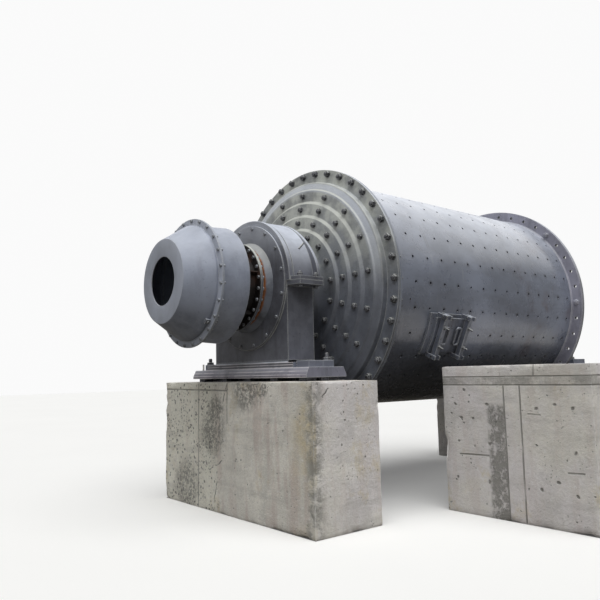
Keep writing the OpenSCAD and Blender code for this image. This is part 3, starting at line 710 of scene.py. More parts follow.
def painted(finish, tone, dust, peel=0.3, cast=0.0, grime=0.4, waves=0.0, wear=0.0, lime=False, heights=(),
            half=2.0, front=0.0, above=-9.0):
    """Satin paint: drifting tone, grime, dust on top that is partly painted light from above, light edges that are
    partly wear and partly painted highlight and, on castings, a rough skin.

    `front` is the share of a pale film on the upright faces along X, from a little over the level `above`: painted
    light on those end faces.
    """
    finish.start(tone, 0.7, 1.28, finish.cloud(1.2, 0.36, 0.64))
    finish.lay(finish.cloud(8, 0.4, 0.7, 6.0, 0.7) * 0.3, finish.tone(tone, 1.6))
    finish.lay(finish.cloud(2.6, 0.48, 0.66, 6.0, 0.65, (2.2, 2.2, 0.45)) * (grime * 0.8), "grime")
    finish.lay(finish.cloud(34, 0.62, 0.7, 3.0) * grime, "grime")
    cover = limed(finish, tone, dust) if lime else finish.dusty(dust, 0.05, 0.7, "film")
    # Painted light: a pale film lightens the upright end faces along X, above the level `above`.
    if front:
        upright = finish.step(abs(finish.axes(finish.facing)[0]), 0.9, 0.97)
        coat = upright * finish.step(finish.axes(finish.place)[2], above, above + 0.4)
        finish.lay(coat * (finish.cloud(2.2, 0.3, 0.7) * 0.3 + 0.85) * front, "film")
    # Light along the edges: partly wear and partly painted highlight.
    if wear:
        finish.lay(finish.edges(0.015) * (finish.cloud(6, 0.3, 0.55) * 0.5 + 0.5) * wear, "dust")
    if heights:
        worn_and_highlit_lines(finish, heights, half)
    finish.rise(finish.noise(190, 2.0), 0.0005, peel)
    if cast:
        finish.rise(finish.noise(30, 5.0, 0.62), 0.006, cast)
    if waves:
        finish.rise(finish.noise(4.0, 2.0), 0.010, waves)
    finish.end(finish.cloud(5.5) * 0.16 + cover * 0.25 + 0.34)


def shell_paint(finish):
    """The shell's paint, with grime round each liner bolt hole, drag marks, faint weld seams and rolled waves; its
    underside is darker with painted shade, its top carries a pale film that is dust and partly painted sky light, and
    the pilot hole is a dark disc of painted shade.
    """
    pitch = bpy.context.scene.mill_sizes.liner_pitch
    x, up, radius, turn = finish.chart()
    along = (finish.math("FRACT", (x - ROW_START) / pitch) - 0.5) * pitch
    around = (finish.math("FRACT", turn * ROWS) - 0.5) * (FULL * SHELL_R / ROWS)
    finish.start("paint", 0.78, 1.2, finish.cloud(0.8, 0.36, 0.64))
    finish.lay(finish.cloud(1.6, 0.45, 0.68, 6.0, 0.7, (1.0, 3.0, 3.0)) * 0.25, "grime")
    finish.lay(finish.cloud(1.9, 0.52, 0.68, 5.0, 0.65) * finish.step(x, 2.6, 3.9) * 0.4, "dark_rust")
    # Painted shade: the grime colour darkens the drum towards its underside.
    finish.lay(finish.until(up, -1.25, -0.35) * 0.6, "grime")
    finish.lay(finish.until(finish.reach(along, around), 0.017, 0.05) * finish.cloud(9, 0.35, 0.6) * 0.5, "grime")
    finish.lay(finish.cloud(30, 0.62, 0.7, 3.0) * 0.45, "grime")
    finish.lay(finish.cloud(7, 0.62, 0.74, 4.0, 0.6, (2.0, 0.5, 0.5)) * 0.12, "dust")
    drag = [
        finish.step(turn, first / 360, first / 360 + 0.005) * finish.until(turn, last / 360 - 0.005, last / 360)
        * finish.near(x, station, 0.003, 0.011) for station, first, last in SCUFFS
    ]
    finish.lay(finish.most(drag) * 0.7, "grime")
    # Pale film on the faces turned up: dust, and partly painted sky light on the top of the drum.
    cover = finish.dusty(1.0, 0.15, 0.95, "film")
    inside = finish.until(radius, SHELL_R - 0.022, SHELL_R - 0.004)
    # The pilot hole is only painted: a small dark disc in the interior colour, as painted shade of a hole. The rest of
    # this mask is the unpainted inside.
    pilot = finish.reach(x - PILOT_X, (turn - PILOT_TURN / 360) * (FULL * SHELL_R))
    finish.lay(finish.most([inside, finish.until(pilot, 0.009, 0.011)]), "interior")
    seam = abs(finish.math("FRACT", turn * 10 + (0.5 - 96 / 36 + 3)) - 0.5)
    weld = finish.until(seam * (FULL * SHELL_R / 10), 0.004, 0.012)
    finish.rise(finish.noise(200, 2.0), 0.0004, 0.3)
    finish.rise(finish.noise(2.6), 0.012, 0.4)
    finish.rise(weld * finish.noise(60, 2.0), 0.0015, 0.5)
    finish.end(finish.cloud(4.0) * 0.10 + cover * 0.06 + 0.23, gloss=0.85)


def worn_steel(finish, tone, shine=0.3, rough=0.34, dust=0.7):
    """Worn steel with lighter patches where its coating is thin, light edges and dust on top, both partly painted
    highlight.
    """
    spots = finish.cloud(24, 0.35, 0.65, 4.0)
    finish.start(tone, 0.6, 1.7, spots)
    # Light edges: partly wear and partly painted highlight.
    finish.lay(finish.edges(0.006) * 0.5, "dust")
    # Dust on top, partly painted highlight from above.
    cover = finish.dusty(dust, 0.1, 0.9)
    finish.rise(finish.noise(260, 2.0), 0.0003, 0.3)
    finish.end(spots * 0.15 + cover * 0.25 + rough, shine)


def dark_interior(finish):
    """Dark unpainted steel with a little old rust."""
    patch = finish.cloud(5, 0.48, 0.7)
    finish.base = finish.mix(patch * 0.5, "interior", "dark_rust")
    finish.rise(finish.noise(45, 4.0, 0.6), 0.002, 0.4)
    finish.end(patch * 0.3 + 0.5)


def rusty_collar(finish):
    """Seal collar: dusty paint, with bare rust along its tip."""
    outward = abs(finish.axes(finish.place)[0] - SPAN / 2) + finish.noise(9, 5.0, 0.6) * 0.03
    edge = finish.step(outward, SPAN / 2 + 0.276, SPAN / 2 + 0.294)
    finish.start("cast_paint", 0.6, 1.3, finish.cloud(4))
    finish.dusty(0.7, 0.0, 0.8)
    finish.lay(edge, finish.mix(finish.cloud(28) * 0.6, "rust", "dark_rust"))
    finish.rise(finish.noise(70, 5.0, 0.65), 0.003, 0.4)
    finish.end(edge * 0.3 + 0.5)


def cast_concrete(finish):
    """Concrete: clouds of tone, warm streaks, sand grain, bug holes, and the marks of its formwork and repairs.

    The near pier and the drive's block have marks of their own, at the places that the lists above give.
    """
    x, y, z = finish.axes(finish.place)
    swirl = finish.node("TexNoise", {}, {"Vector": finish.place, "Scale": 7.0}, out=1)
    bend = {0: finish.vector("SUBTRACT", swirl, (0.5, 0.5, 0.5)), 1: (0.07, 0.07, 0.07), 2: finish.place}
    bent = finish.node("VectorMath", {"operation": "MULTIPLY_ADD"}, bend)
    side = finish.until(finish.axes(finish.facing)[1], -0.8, -0.5)
    block = finish.step(x - y * 0.9, 1.39 + 1.4 * 0.9, 1.41 + 1.4 * 0.9)
    calm = finish.most([side, block])
    front = finish.until(x, PIER_FACE + 0.02, PIER_FACE + 0.05)
    pitted = finish.step(y, 0.05, 0.4) * front
    finish.start("concrete", 0.88, 1.08, finish.cloud(1.6, 0.36, 0.64, 6.0, 0.65))
    finish.lay(calm * finish.cloud(1.1, 0.3, 0.6) * 0.9, "lilac")
    patch = finish.cloud(2.4, 0.48, 0.64, 8.0, 0.72) * (0.34 - calm * 0.1)
    finish.lay(patch, "damp")
    finish.lay(finish.cloud(2.2, 0.46, 0.64, 6.0, 0.62, (3.2, 3.2, 0.4)) * (0.55 - calm * 0.35), "stain")
    finish.lay(pitted * 0.6, "cream")
    edge = finish.reach(x - PIER_FACE, y - PIER_SIDE)
    band = finish.until(edge, 0.10, 0.42) * front * finish.cloud(1.6, 0.36, 0.56) * 0.8
    yellow = finish.cloud(1.7, 0.56, 0.68, 6.0, 0.7, (1.0, 1.0, 0.8)) * 0.5
    finish.lay(finish.most([yellow, band]), "ochre")
    finish.lay(finish.cloud(1.3, 0.5, 0.66, 6.0, 0.7, (1.0, 1.0, 5.0)) * 0.25, "damp")
    grain = finish.cloud(34, 0.36, 0.66, 5.0, 0.75)
    finish.lay(grain * (0.34 - calm * 0.16), finish.tone("concrete", 0.6))
    mottle = finish.most([finish.spot((PIER_FACE, *spot), radius, bent) for spot, radius in PIER_MOTTLE])
    mottle = mottle * finish.cloud(27, 0.47, 0.55, 6.0, 0.85)
    finish.lay(mottle * 0.8, finish.tone("concrete", 0.35))
    finish.lay(finish.cloud(21, 0.55, 0.68, 5.0, 0.75) * 0.4, finish.tone("concrete", 1.25))
    pits = [finish.spot((BLOCK_FACE, *spot), 0.022, bent) for spot in TIE_HOLES]
    face = finish.node("CombineXYZ", {}, dict(zip((0, 1), finish.axes(bent)[1:])))
    for spread, field, size, low, high, where in (
        ("3D", bent, 13.0, 0.07, 0.17, finish.cloud(4.5, 0.52, 0.6)),
        ("3D", bent, 29.0, 0.08, 0.22, finish.cloud(6.3, 0.52, 0.6)),
        ("2D", face, 10.0, 0.11, 0.17, pitted * finish.cloud(3.7, 0.4, 0.5)),
        ("2D", face, 21.0, 0.13, 0.22, pitted * finish.cloud(4.9, 0.48, 0.56)),
    ):
        cells = finish.node("TexVoronoi", {"voronoi_dimensions": spread}, {"Vector": field, "Scale": size})
        pits.append(finish.until(cells, low, high) * where)
    top = BLOCK_TOP - 0.115
    course = finish.step(z, top - 0.09, top - 0.08) * finish.until(z, top - 0.006, top)
    course = course * block * finish.cloud(3.0, 0.34, 0.62, 7.0, 0.8)
    strip = finish.step(y, -2.20, -2.18) * finish.until(y, -2.02, -1.96) * finish.until(z, 1.08, 1.16)
    strip = strip * block * finish.until(x, BLOCK_FACE + 0.04, BLOCK_FACE + 0.09)
    corner = finish.until(edge, 0.03, 0.17) * finish.cloud(7, 0.4, 0.6, 6.0, 0.7)
    rough = finish.most([strip * finish.cloud(14, 0.4, 0.56, 6.0, 0.8), corner])
    finish.lay(finish.most([course * 0.75, rough * 0.85]), finish.tone("damp", 0.8))
    lines = [finish.near(z, height, 0.003, 0.010) * block for height in (top, BLOCK_TOP - 0.2)]
    for face, joints in ((PIER_FACE, PIER_JOINTS), (BLOCK_FACE, BLOCK_JOINTS)):
        lines += [finish.stroke((face, *a), (face, *b), 0.012) for a, b in joints]
    line = finish.most(lines) * (finish.cloud(5, 0.3, 0.5) * 0.6 + 0.4)
    cracks = [((PIER_FACE, *a), (PIER_FACE, *b)) for a, b in PIER_CRACKS] + [SIDE_CRACK]
    crack = finish.most([finish.stroke(a, b, 0.009, bent) for a, b in cracks])
    # Joints and cracks are dark marks; the pits (tie holes and bug holes) are painted dark as painted shade in the
    # holes, over their bump.
    marks = finish.most([line * 0.75, crack * 0.9, finish.most(pits) * 0.9])
    finish.lay(marks, finish.tone("concrete", 0.3))
    # Lighter along the edges: worn edges, and partly painted highlight.
    finish.lay(finish.edges(0.02) * finish.cloud(9, 0.35, 0.55) * 0.5, finish.tone("concrete", 1.2))
    finish.rise(finish.noise(120, 4.0, 0.7), 0.003, 0.6)
    finish.rise(grain + patch, 0.006, 0.5)
    finish.rise(1.0 - finish.most([marks, rough * 0.7, mottle * 0.6]), 0.012, 0.9)
    finish.end(grain * 0.1 + 0.82, gloss=0.3)


FINISHES = {
    "shell_paint": (shell_paint, {}),
    "flange_paint": (painted, dict(tone="paint", dust=0.55, wear=0.4)),
    "head_paint": (painted, dict(tone="cast_paint", dust=1.0, peel=0.2, cast=0.6, wear=0.55, lime=True)),
    "bearing_paint": (painted, dict(tone="bearing_paint", dust=1.0, peel=0.25, cast=0.3, wear=0.6, front=0.34,
                                    above=AXIS + 0.18, heights=(1.602, 1.577, 1.551), half=0.845)),
    "feeder_paint": (painted, dict(tone="feeder_paint", dust=0.5, grime=0.2, waves=0.3, wear=0.5, front=0.32)),
    "gear_flange_paint": (painted, dict(tone="gear_paint", dust=0.5, grime=0.3, wear=0.4)),
    "manhole_paint": (painted, dict(tone="manhole_paint", dust=0.5, grime=0.9, wear=0.6)),
    "sole_plate_paint": (painted, dict(tone="plum_paint", dust=0.6, grime=0.7, wear=0.8,
                                       heights=(1.546, 1.510, 1.474, 1.448))),
    "painted_bolts": (painted, dict(tone="cast_paint", dust=0.8, peel=0.2, grime=0.7, wear=0.4)),
    "rusty_collar": (rusty_collar, {}),
    "dark_interior": (dark_interior, {}),
    "concrete": (cast_concrete, {}),
    "dark_bolts": (worn_steel, dict(tone="bolt")),
    "bright_steel": (worn_steel, dict(tone="bright", shine=0.9, rough=0.25, dust=0.2)),
    "bare_steel": (worn_steel, dict(tone="bolt", shine=0.6, rough=0.45)),
}


def finish_named(kind):
    """The finish of that kind, made on first use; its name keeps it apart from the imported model's plain materials."""
    name = kind + "_finish"
    if name not in bpy.data.materials:
        maker, options = FINISHES[kind]
        maker(Finish(name), **options)
    return bpy.data.materials[name]


class MILL_OT_shell(bpy.types.Operator):
    """Rolled shell with its rows of liner bolt holes"""

    bl_idname = "mill.shell"
    bl_label = "Shell"

    def execute(self, context):
        sizes = context.scene.mill_sizes
        inner = SHELL_R - sizes.shell_wall
        xs = ROW_START + (np.arange(ROW_HOLES) + 0.5) * sizes.liner_pitch
        turns = (np.arange(ROWS) * 12 + 6) * DEG
        centres = np.stack(np.meshgrid(xs, turns, indexing="ij"), -1).reshape(-1, 2)
        covered = (np.abs(centres[:, 1] - MANHOLE_TURN) < 0.01) & (np.abs(centres[:, 0] - MANHOLE_X) < 0.43)
        sheets = [cylinder_sheet(SHELL_R), cylinder_sheet(inner)]
        half = np.array([sizes.liner_pitch / 2, 6 * DEG])
        parts = [pierced(centres, half, sizes.liner_hole, ~covered, sheets)]
        low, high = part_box("shell_plate_1")
        for edge, end in ((ROW_START, low[0]), (ROW_START + ROW_HOLES * sizes.liner_pitch, high[0])):
            chain = [(SHELL_R, edge), (SHELL_R, (edge + end) / 2), (SHELL_R, end), (inner, end), (inner, edge)]
            parts.append(lathe(chain, even_turns(ROWS * 6), closed=False))
        piece("shell", parts, "shell_paint", DRUM, [f"shell_plate_{k}" for k in range(1, 11)])
        return {"FINISHED"}


def flange(node, low, high, turn, hole, root):
    """A flange with forty holes: pierced faces, a rounded rim, and a profile inside the holes from face to face."""
    corner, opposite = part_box(node)
    outer = (opposite[1] - corner[1]) / 2
    half = np.array([0.045, 180 * DEG / FLANGE_BOLTS])
    near, far = BOLT_R - half[0], BOLT_R + half[0]
    centres = np.stack([np.full(FLANGE_BOLTS, BOLT_R), (turn + np.arange(FLANGE_BOLTS) * 9) * DEG], -1)
    opened = np.ones(FLANGE_BOLTS, bool)
    parts = [pierced(centres, half, hole, opened, [disc_sheet(low), disc_sheet(high)])]
    around = (turn + 4.5 + np.arange(240) * 1.5) * DEG
    rim = rounded([(far, low), (outer, low), (outer, high), (far, high)], 0.003, closed=False)
    chain = np.concatenate([[(near, low)], root, [(near, high)]])
    return parts + [lathe(rim, around, closed=False), lathe(chain, around, closed=False)]


class MILL_OT_flanges(bpy.types.Operator):
    """Feed shell flange and gear flange, welded round the shell"""

    bl_idname = "mill.flanges"
    bl_label = "Shell flanges"

    def execute(self, context):
        root, leg, t = SHELL_R + 0.0003, 0.018, np.linspace(0, 1, 5)
        radial = root + leg * (0.7 * t * (1 - t) + t**2)
        axial = leg * ((1 - t) ** 2 + 0.7 * t * (1 - t))
        for node, coat, face, wall, turn, hole in (
            ("feed_shell_flange", "flange_paint", JOINT, FEED_FLANGE_T, 0, 0.048),
            ("gear_flange", "gear_flange_paint", GEAR_JOINT, -GEAR_FLANGE_T, 2, 0.045),
        ):
            side, back = math.copysign(1, wall), face + wall
            chain = np.concatenate([[(root, face)], np.stack([radial, back + side * axial], -1)])[::int(side)]
            parts = flange(node, min(face, back), max(face, back), turn, hole, chain)
            piece(node + "_ring", parts, coat, DRUM, [node])
        return {"FINISHED"}


def head_profile():
    """Profile of a head with its trunnion, from the joint face inside and out to the flange."""
    slope, back, last = RING_RISE / RING_STEP, RING_FACE + 0.092, RING_R + 3 * RING_STEP + 0.068
    fillet = [(0.475 + 0.125 * (1 - math.cos(a)), RING_FACE - 0.125 * (1 - math.sin(a)), 0)
              for a in np.linspace(0, math.pi / 2, 11)]
    steps = [(RING_R + k * RING_STEP + side * 0.068, RING_FACE + k * RING_RISE, 0.007)
             for k in range(RINGS) for side in (-1, 1)][1:]
    rows = np.array([
        (1.405, JOINT, 0), (1.300, JOINT, 0.003), (1.300, back + (1.300 - RING_R) * slope, 0.02),
        (0.380, back + (0.380 - RING_R) * slope, 0.003), (0.380, NECK_JOINT, 0.002), (NECK_FLANGE_R, NECK_JOINT, 0.002),
        (NECK_FLANGE_R, TRUNNION_BACK, 0.002), (0.425, TRUNNION_BACK, 0.006), (0.425, -0.155, 0.004),
        (0.450, -0.155, 0.002), (0.450, 0.155, 0.002), (0.475, 0.155, 0.004), *fillet, *steps,
        (last + 0.014, RING_FACE + 3 * RING_RISE + 0.017, 0.008), (1.340, HEAD_BACK - 0.067, 0.012),
        (1.344, HEAD_BACK, 0.008), (1.405, HEAD_BACK, 0),
    ])
    return rounded(rows[:, :2], rows[:, 2], closed=False)


class MILL_OT_heads(bpy.types.Operator):
    """Stepped cast heads with their trunnions and liner tubes"""

    bl_idname = "mill.heads"
    bl_label = "Heads and trunnions"

    def execute(self, context):
        for (end, move), turn in zip(ENDS, (0, 2)):
            node = end + "head"
            parts = flange(node, HEAD_BACK, JOINT, turn, 0.048, head_profile()[1:-1][::-1])
            piece(node + "_casting", moved(parts, move), "head_paint", DRUM, [node])
            dress(end + "trunnion_liner", "dark_interior")
        return {"FINISHED"}


class MILL_OT_feeder(bpy.types.Operator):
    """Drum feeder: mouth, cone, drum and ribbed neck"""

    bl_idname = "mill.feeder"
    bl_label = "Drum feeder"

    def execute(self, context):
        mouth, wall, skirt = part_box("feeder_cone")[0][0], 0.012, -0.974
        cone = [
            (0.254, mouth), (0.439, mouth), (FEEDER_OUT, skirt), (FEEDER_OUT, FEEDER_FRONT),
            (FEEDER_FLANGE_R, FEEDER_FRONT), (FEEDER_FLANGE_R, FEEDER_JOINT), (FEEDER_IN, FEEDER_JOINT),
            (FEEDER_IN, skirt), (0.433, mouth + wall), (0.254, mouth + wall),
        ]
        drum = [
            (FEEDER_IN, FEEDER_JOINT), (FEEDER_FLANGE_R, FEEDER_JOINT), (FEEDER_FLANGE_R, FEEDER_REAR),
            (FEEDER_OUT, FEEDER_REAR), (0.633, FEEDER_BACK), (0.621, FEEDER_BACK), (FEEDER_IN, FEEDER_REAR),
        ]
        for name, profile, nodes in (
            ("feeder_front", cone, ["feeder_cone", "feeder_mouth_ring"]), ("feeder_rear", drum, ["feeder_drum"])
        ):
            piece(name, [turned(profile, 0.003)], "feeder_paint", DRUM, nodes)
        lugs, place = [], square(LUG_TURN)
        for x0, x1, seat in ((-1.004, -0.952, FEEDER_IN), (-0.922, -0.870, 0.606)):
            lugs.append(box(x0, x1, -0.026, 0.026, seat, seat + 0.030, place))
            middle = place(x0 / 2 + x1 / 2, 0.0, seat + 0.030), place(0.0, 0.0, 1.0) - place(0.0, 0.0, 0.0)
            lugs.append(fasteners(middle, nut(0.024, 0.013, washer=False)))
        piece("feeder_lugs", lugs, "manhole_paint", DRUM, bevel=0.003)
        tube = [
            (NECK_IN, -0.600), (0.620, -0.600), (0.6206, FEEDER_BACK), (NECK_OUT, FEEDER_BACK), (NECK_OUT, NECK_FRONT),
            (NECK_FLANGE_R, NECK_FRONT), (NECK_FLANGE_R, NECK_JOINT), (NECK_IN, NECK_JOINT),
        ]
        ribs = [box(-0.587, -0.363, -0.006, 0.006, 0.395, 0.462, square((15.7 + k * 60) * DEG)) for k in range(6)]
        piece("feeder_neck_plates", [turned(tube, 0.002)] + ribs, "dark_interior", DRUM, ["feeder_neck"])
        return {"FINISHED"}


class MILL_OT_manhole(bpy.types.Operator):
    """Manhole: frame, cover, clamp bars between their ears, and handles"""

    bl_idname = "mill.manhole"
    bl_label = "Manhole"

    def execute(self, context):
        sizes, place = context.scene.mill_sizes, square(MANHOLE_TURN, MANHOLE_X)
        for node, half, arc, inner, outer, edge in (
            ("manhole_frame", 0.370, 10.3 * DEG, SHELL_R, SHELL_R + 0.025, 0.004),
            ("manhole_cover", 0.285, 8.5 * DEG, 1.4003, 1.425, 0.005),
        ):
            plate = curved_plate(
                MANHOLE_X - half, MANHOLE_X + half, MANHOLE_TURN - arc, MANHOLE_TURN + arc, inner, outer, edge)
            piece(node + "_plate", [plate], "manhole_paint", DRUM, [node])
        ears = [
            box(bar + x - 0.008, bar + x + 0.008, *sorted((side * 0.215, side * BAR_END)), 1.380, 1.525, place)
            for bar in BARS for x in (-0.039, 0.039) for side in (-1, 1)
        ]
        piece("manhole_ears", ears, "manhole_paint", DRUM, bevel=0.004)
        parts = [box(bar - 0.030, bar + 0.030, -BAR_END, BAR_END, 1.440, BAR_TOP, place) for bar in BARS]
        piece("clamp_bars", parts, "manhole_paint", DRUM, ["manhole_clamp_bars"], sizes.machined_edge)
        outwards = place(0.0, 0.0, 1.0) - place(0.0, 0.0, 0.0)
        feet = np.array([place(bar, y, BAR_TOP) for bar in BARS for y in (-0.115, 0.115)])
        foot = place(0.0, 0.0, 1.4255) - place(0.0, 0.0, BAR_TOP)
        studs = [("round", 0.012, 0.0), ("round", 0.012, 0.075)]
        parts = [fasteners((feet, outwards), nut(0.036, 0.019, stud=0.040)), fasteners((feet + foot, outwards), studs)]
        parts += [rod(place(np.linspace(bar - 0.056, bar + 0.056, 4), y, 1.470), 0.012)
                  for bar in BARS for y in (-0.240, 0.240)]
        piece("clamp_studs_and_pins", parts, "dark_bolts", DRUM)
        handles = []
        for x in (-0.098, 0.124):
            corners = [(x + u * 0.040, v * HANDLE_Y) for u, v in ((-1, -1), (1, -1), (1, 1), (-1, 1))]
            loop = rounded(corners, 0.030, 6)
            handles.append(ring_rod(place(loop[:, 0], loop[:, 1], 1.444), sizes.handle_rod / 2))
            handles += [rod(place(x, side * HANDLE_Y, np.array([1.40, 1.42, 1.446])), 0.011) for side in (-1, 1)]
        piece("cover_handles", handles, "manhole_paint", DRUM, sharp=50)
        return {"FINISHED"}


def split_flange(low, high):
    """Two halves of a split flange, with tapered corners at the outer face."""
    near = [(-HALF_WIDTH, 0.62), (-HALF_WIDTH, 0.738), (-0.138, 0.885), (HALF_WIDTH, 0.885), (HALF_WIDTH, 0.62)]
    return [prism([(x, side * y) for x, y in near], low, high, flat_up) for side in (-1, 1)]


class MILL_OT_bearings(bpy.types.Operator):
    """Trunnion bearings: bases, caps, covers and seal collars"""

    bl_idname = "mill.bearings"
    bl_label = "Trunnion bearings"

    def execute(self, context):
        edge = context.scene.mill_sizes.machined_edge
        a = np.linspace(0, math.pi, 49)
        notch = np.stack([SEAT_R * np.cos(a), AXIS - SEAT_R * np.sin(a)], -1)
        corners = [(-HALF_LENGTH, AXIS), (-HALF_LENGTH, FOOT), (HALF_LENGTH, FOOT), (HALF_LENGTH, AXIS)]
        seat = [(SEAT_R, -SEAT_HALF), (COVER_R, -SEAT_HALF), (COVER_R, SEAT_HALF), (SEAT_R, SEAT_HALF)]
        toe = [(-0.202, 1.604), (-0.186, 1.608), (-0.180, 1.614), (-HALF_WIDTH, 1.628)]
        fillet = toe + [(-x, z) for x, z in toe[::-1]]
        lower, upper = np.linspace(90, 270, 91) * DEG, np.linspace(-90, 90, 121) * DEG
        pair("bearing_base", [
            prism(np.concatenate([corners, notch]), -HALF_WIDTH, HALF_WIDTH, flat_along),
            lathe(rounded(seat, 0.003), lower, wrap=False, lids=True), *split_flange(AXIS - SPLIT_LOW, AXIS),
            prism(fillet, -HALF_LENGTH, HALF_LENGTH, flat_across), box(-0.222, 0.222, -0.841, 0.841, FOOT, FOOT + 0.056),
        ], "bearing_paint", edge)
        lugs = [
            holed_box(span, (low, low + 0.199), (bolt_x, math.copysign(ANCHOR_Y, low)), 0.026, FOOT, FOOT + LUG_T)
            for low, out in ((-1.040, 0.178), (0.841, 0.130))
            for span, bolt_x in zip(((-out, 0.010), (0.010, 0.159)), ANCHOR_X)
        ]
        cap = [
            (SEAT_R, -SEAT_HALF, 0), (0.766, -SEAT_HALF, 0), (0.766, -0.137, 0), (0.748, -0.137, 0), (0.748, -0.117, 0),
            (0.758, -0.117, 0), (0.758, 0.147, 0), (0.766, 0.147, 0.075), (0.766, SEAT_HALF, 0.075),
            (SEAT_R, SEAT_HALF, 0),
        ]
        radii = [0.003, 0.010, 0.006, 0.004, 0.004, 0.005, 0.006, 0.006, 0.010, 0.003]
        parts = [lathe(rounded(cap, radii), upper, wrap=False, lids=True), *split_flange(AXIS, AXIS + SPLIT_HIGH)]
        pair("bearing_cap", parts, "bearing_paint", edge)
        for name, low in (("outer_cover", -COVER_FACE), ("inner_cover", SEAT_HALF)):
            ring = [(SEAT_R, low), (COVER_R, low), (COVER_R, low + 0.018), (SEAT_R, low + 0.018)]
            pair(name, [turned(ring, 0.003)], "bearing_paint")
        collar = [(SEAT_R, -COVER_FACE), (0.509, -COVER_FACE), (0.447, -0.291), (0.438, -0.291)]
        pair("seal_collar", [turned(collar, 0.002)], "rusty_collar")
        plate = [(-0.268, 1.445), (0.268, 1.445), (0.268, 1.474), (0.232, 1.548), (-0.232, 1.548), (-0.268, 1.474)]
        pair("sole_plate", [prism(plate, -1.105, 1.105, flat_across)], "sole_plate_paint", 0.004)
        pin = on_drum(np.array([0.03, 0.066, 0.103, 0.14]), 0.7585, np.array([61.0, 58.5, 56.1, 53.6]) * DEG)
        blocks = [box(-0.050, 0.050, y0, y1, 1.400, 1.4448) for y0, y1 in PACKING]
        piece("packing_blocks", [part for _, move in ENDS for part in moved(blocks, move)], "bare_steel", FIXED)
        for end, move in ENDS:
            piece(end + "foot_lugs", moved(lugs, move), "bearing_paint", FIXED, bevel=0.004)
            piece(end + "cap_pin", [rod(move(pin), 0.009)], "bare_steel", FIXED)
            dress(end + "bearing_bush", "bare_steel")
            dress(end + "shim_packs", "bare_steel")
        return {"FINISHED"}


def worn_block(low, high, seed, step=0.045):
    """A concrete block whose faces wander inwards and whose edges are worn.

    A point moves in from each face that it lies on by a little noise, and near an edge by a further depth that
    falls with the square of the distance from that edge. The bottom stays flat.
    """
    chip = bpy.context.scene.mill_sizes.chip
    low, high = np.array(low, float), np.array(high, float)
    lines = []
    for k in range(3):
        middle = np.linspace(low[k] + 0.03, high[k] - 0.03, max(3, int((high[k] - low[k]) / step)))
        lines.append(np.concatenate([[low[k], low[k] + 0.007], middle, [high[k] - 0.007, high[k]]]))
    parts = []
    for k in range(3):
        i, j = [axis for axis in range(3) if axis != k]
        u, v = np.meshgrid(lines[i], lines[j], indexing="ij")
        for limit in (low[k], high[k]):
            points = np.empty(u.shape + (3,))
            points[..., i], points[..., j], points[..., k] = u, v, limit
            gaps = np.minimum(points - low, high - points)
            inwards = np.where(points - low < high - points, 1.0, -1.0)
            flat_points = points.reshape(-1, 3)
            wear = wander(flat_points, 0.5, seed) + 0.7 * wander(flat_points, 0.13, seed + 1)
            wear = (0.006 + chip * np.clip(wear, 0, 1.6) ** 2).reshape(u.shape)
            skin = 0.003 * np.clip(wander(flat_points, 0.7, seed + 2).reshape(u.shape) + 1, 0, 2)
            worn = points.copy()
            for axis in range(3):
                others = [other for other in range(3) if other != axis]
                near = np.minimum(gaps[..., others[0]], gaps[..., others[1]])
                fall = np.clip(1 - near / (0.012 + 1.6 * wear), 0, 1) ** 2
                depth = (skin + wear * fall) * (gaps[..., axis] < 1e-6)
                if axis == 2:
                    depth = depth * (points[..., 2] > low[2] + 1e-6)
                worn[..., axis] += inwards[..., axis] * depth
            parts.append((worn, grid_faces(*u.shape).tolist()))
    return parts


class MILL_OT_foundations(bpy.types.Operator):
    """Concrete piers of the bearings and foundation of the drive"""

    bl_idname = "mill.foundations"
    bl_label = "Foundations"

    def execute(self, context):
        for seed, node in enumerate(("feed_pier", "discharge_pier", "drive_foundation")):
            parts = worn_block(*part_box(node), 10 * seed + 3)
            piece(node + "_concrete", parts, "concrete", FIXED, [node], sharp=70)
        return {"FINISHED"}


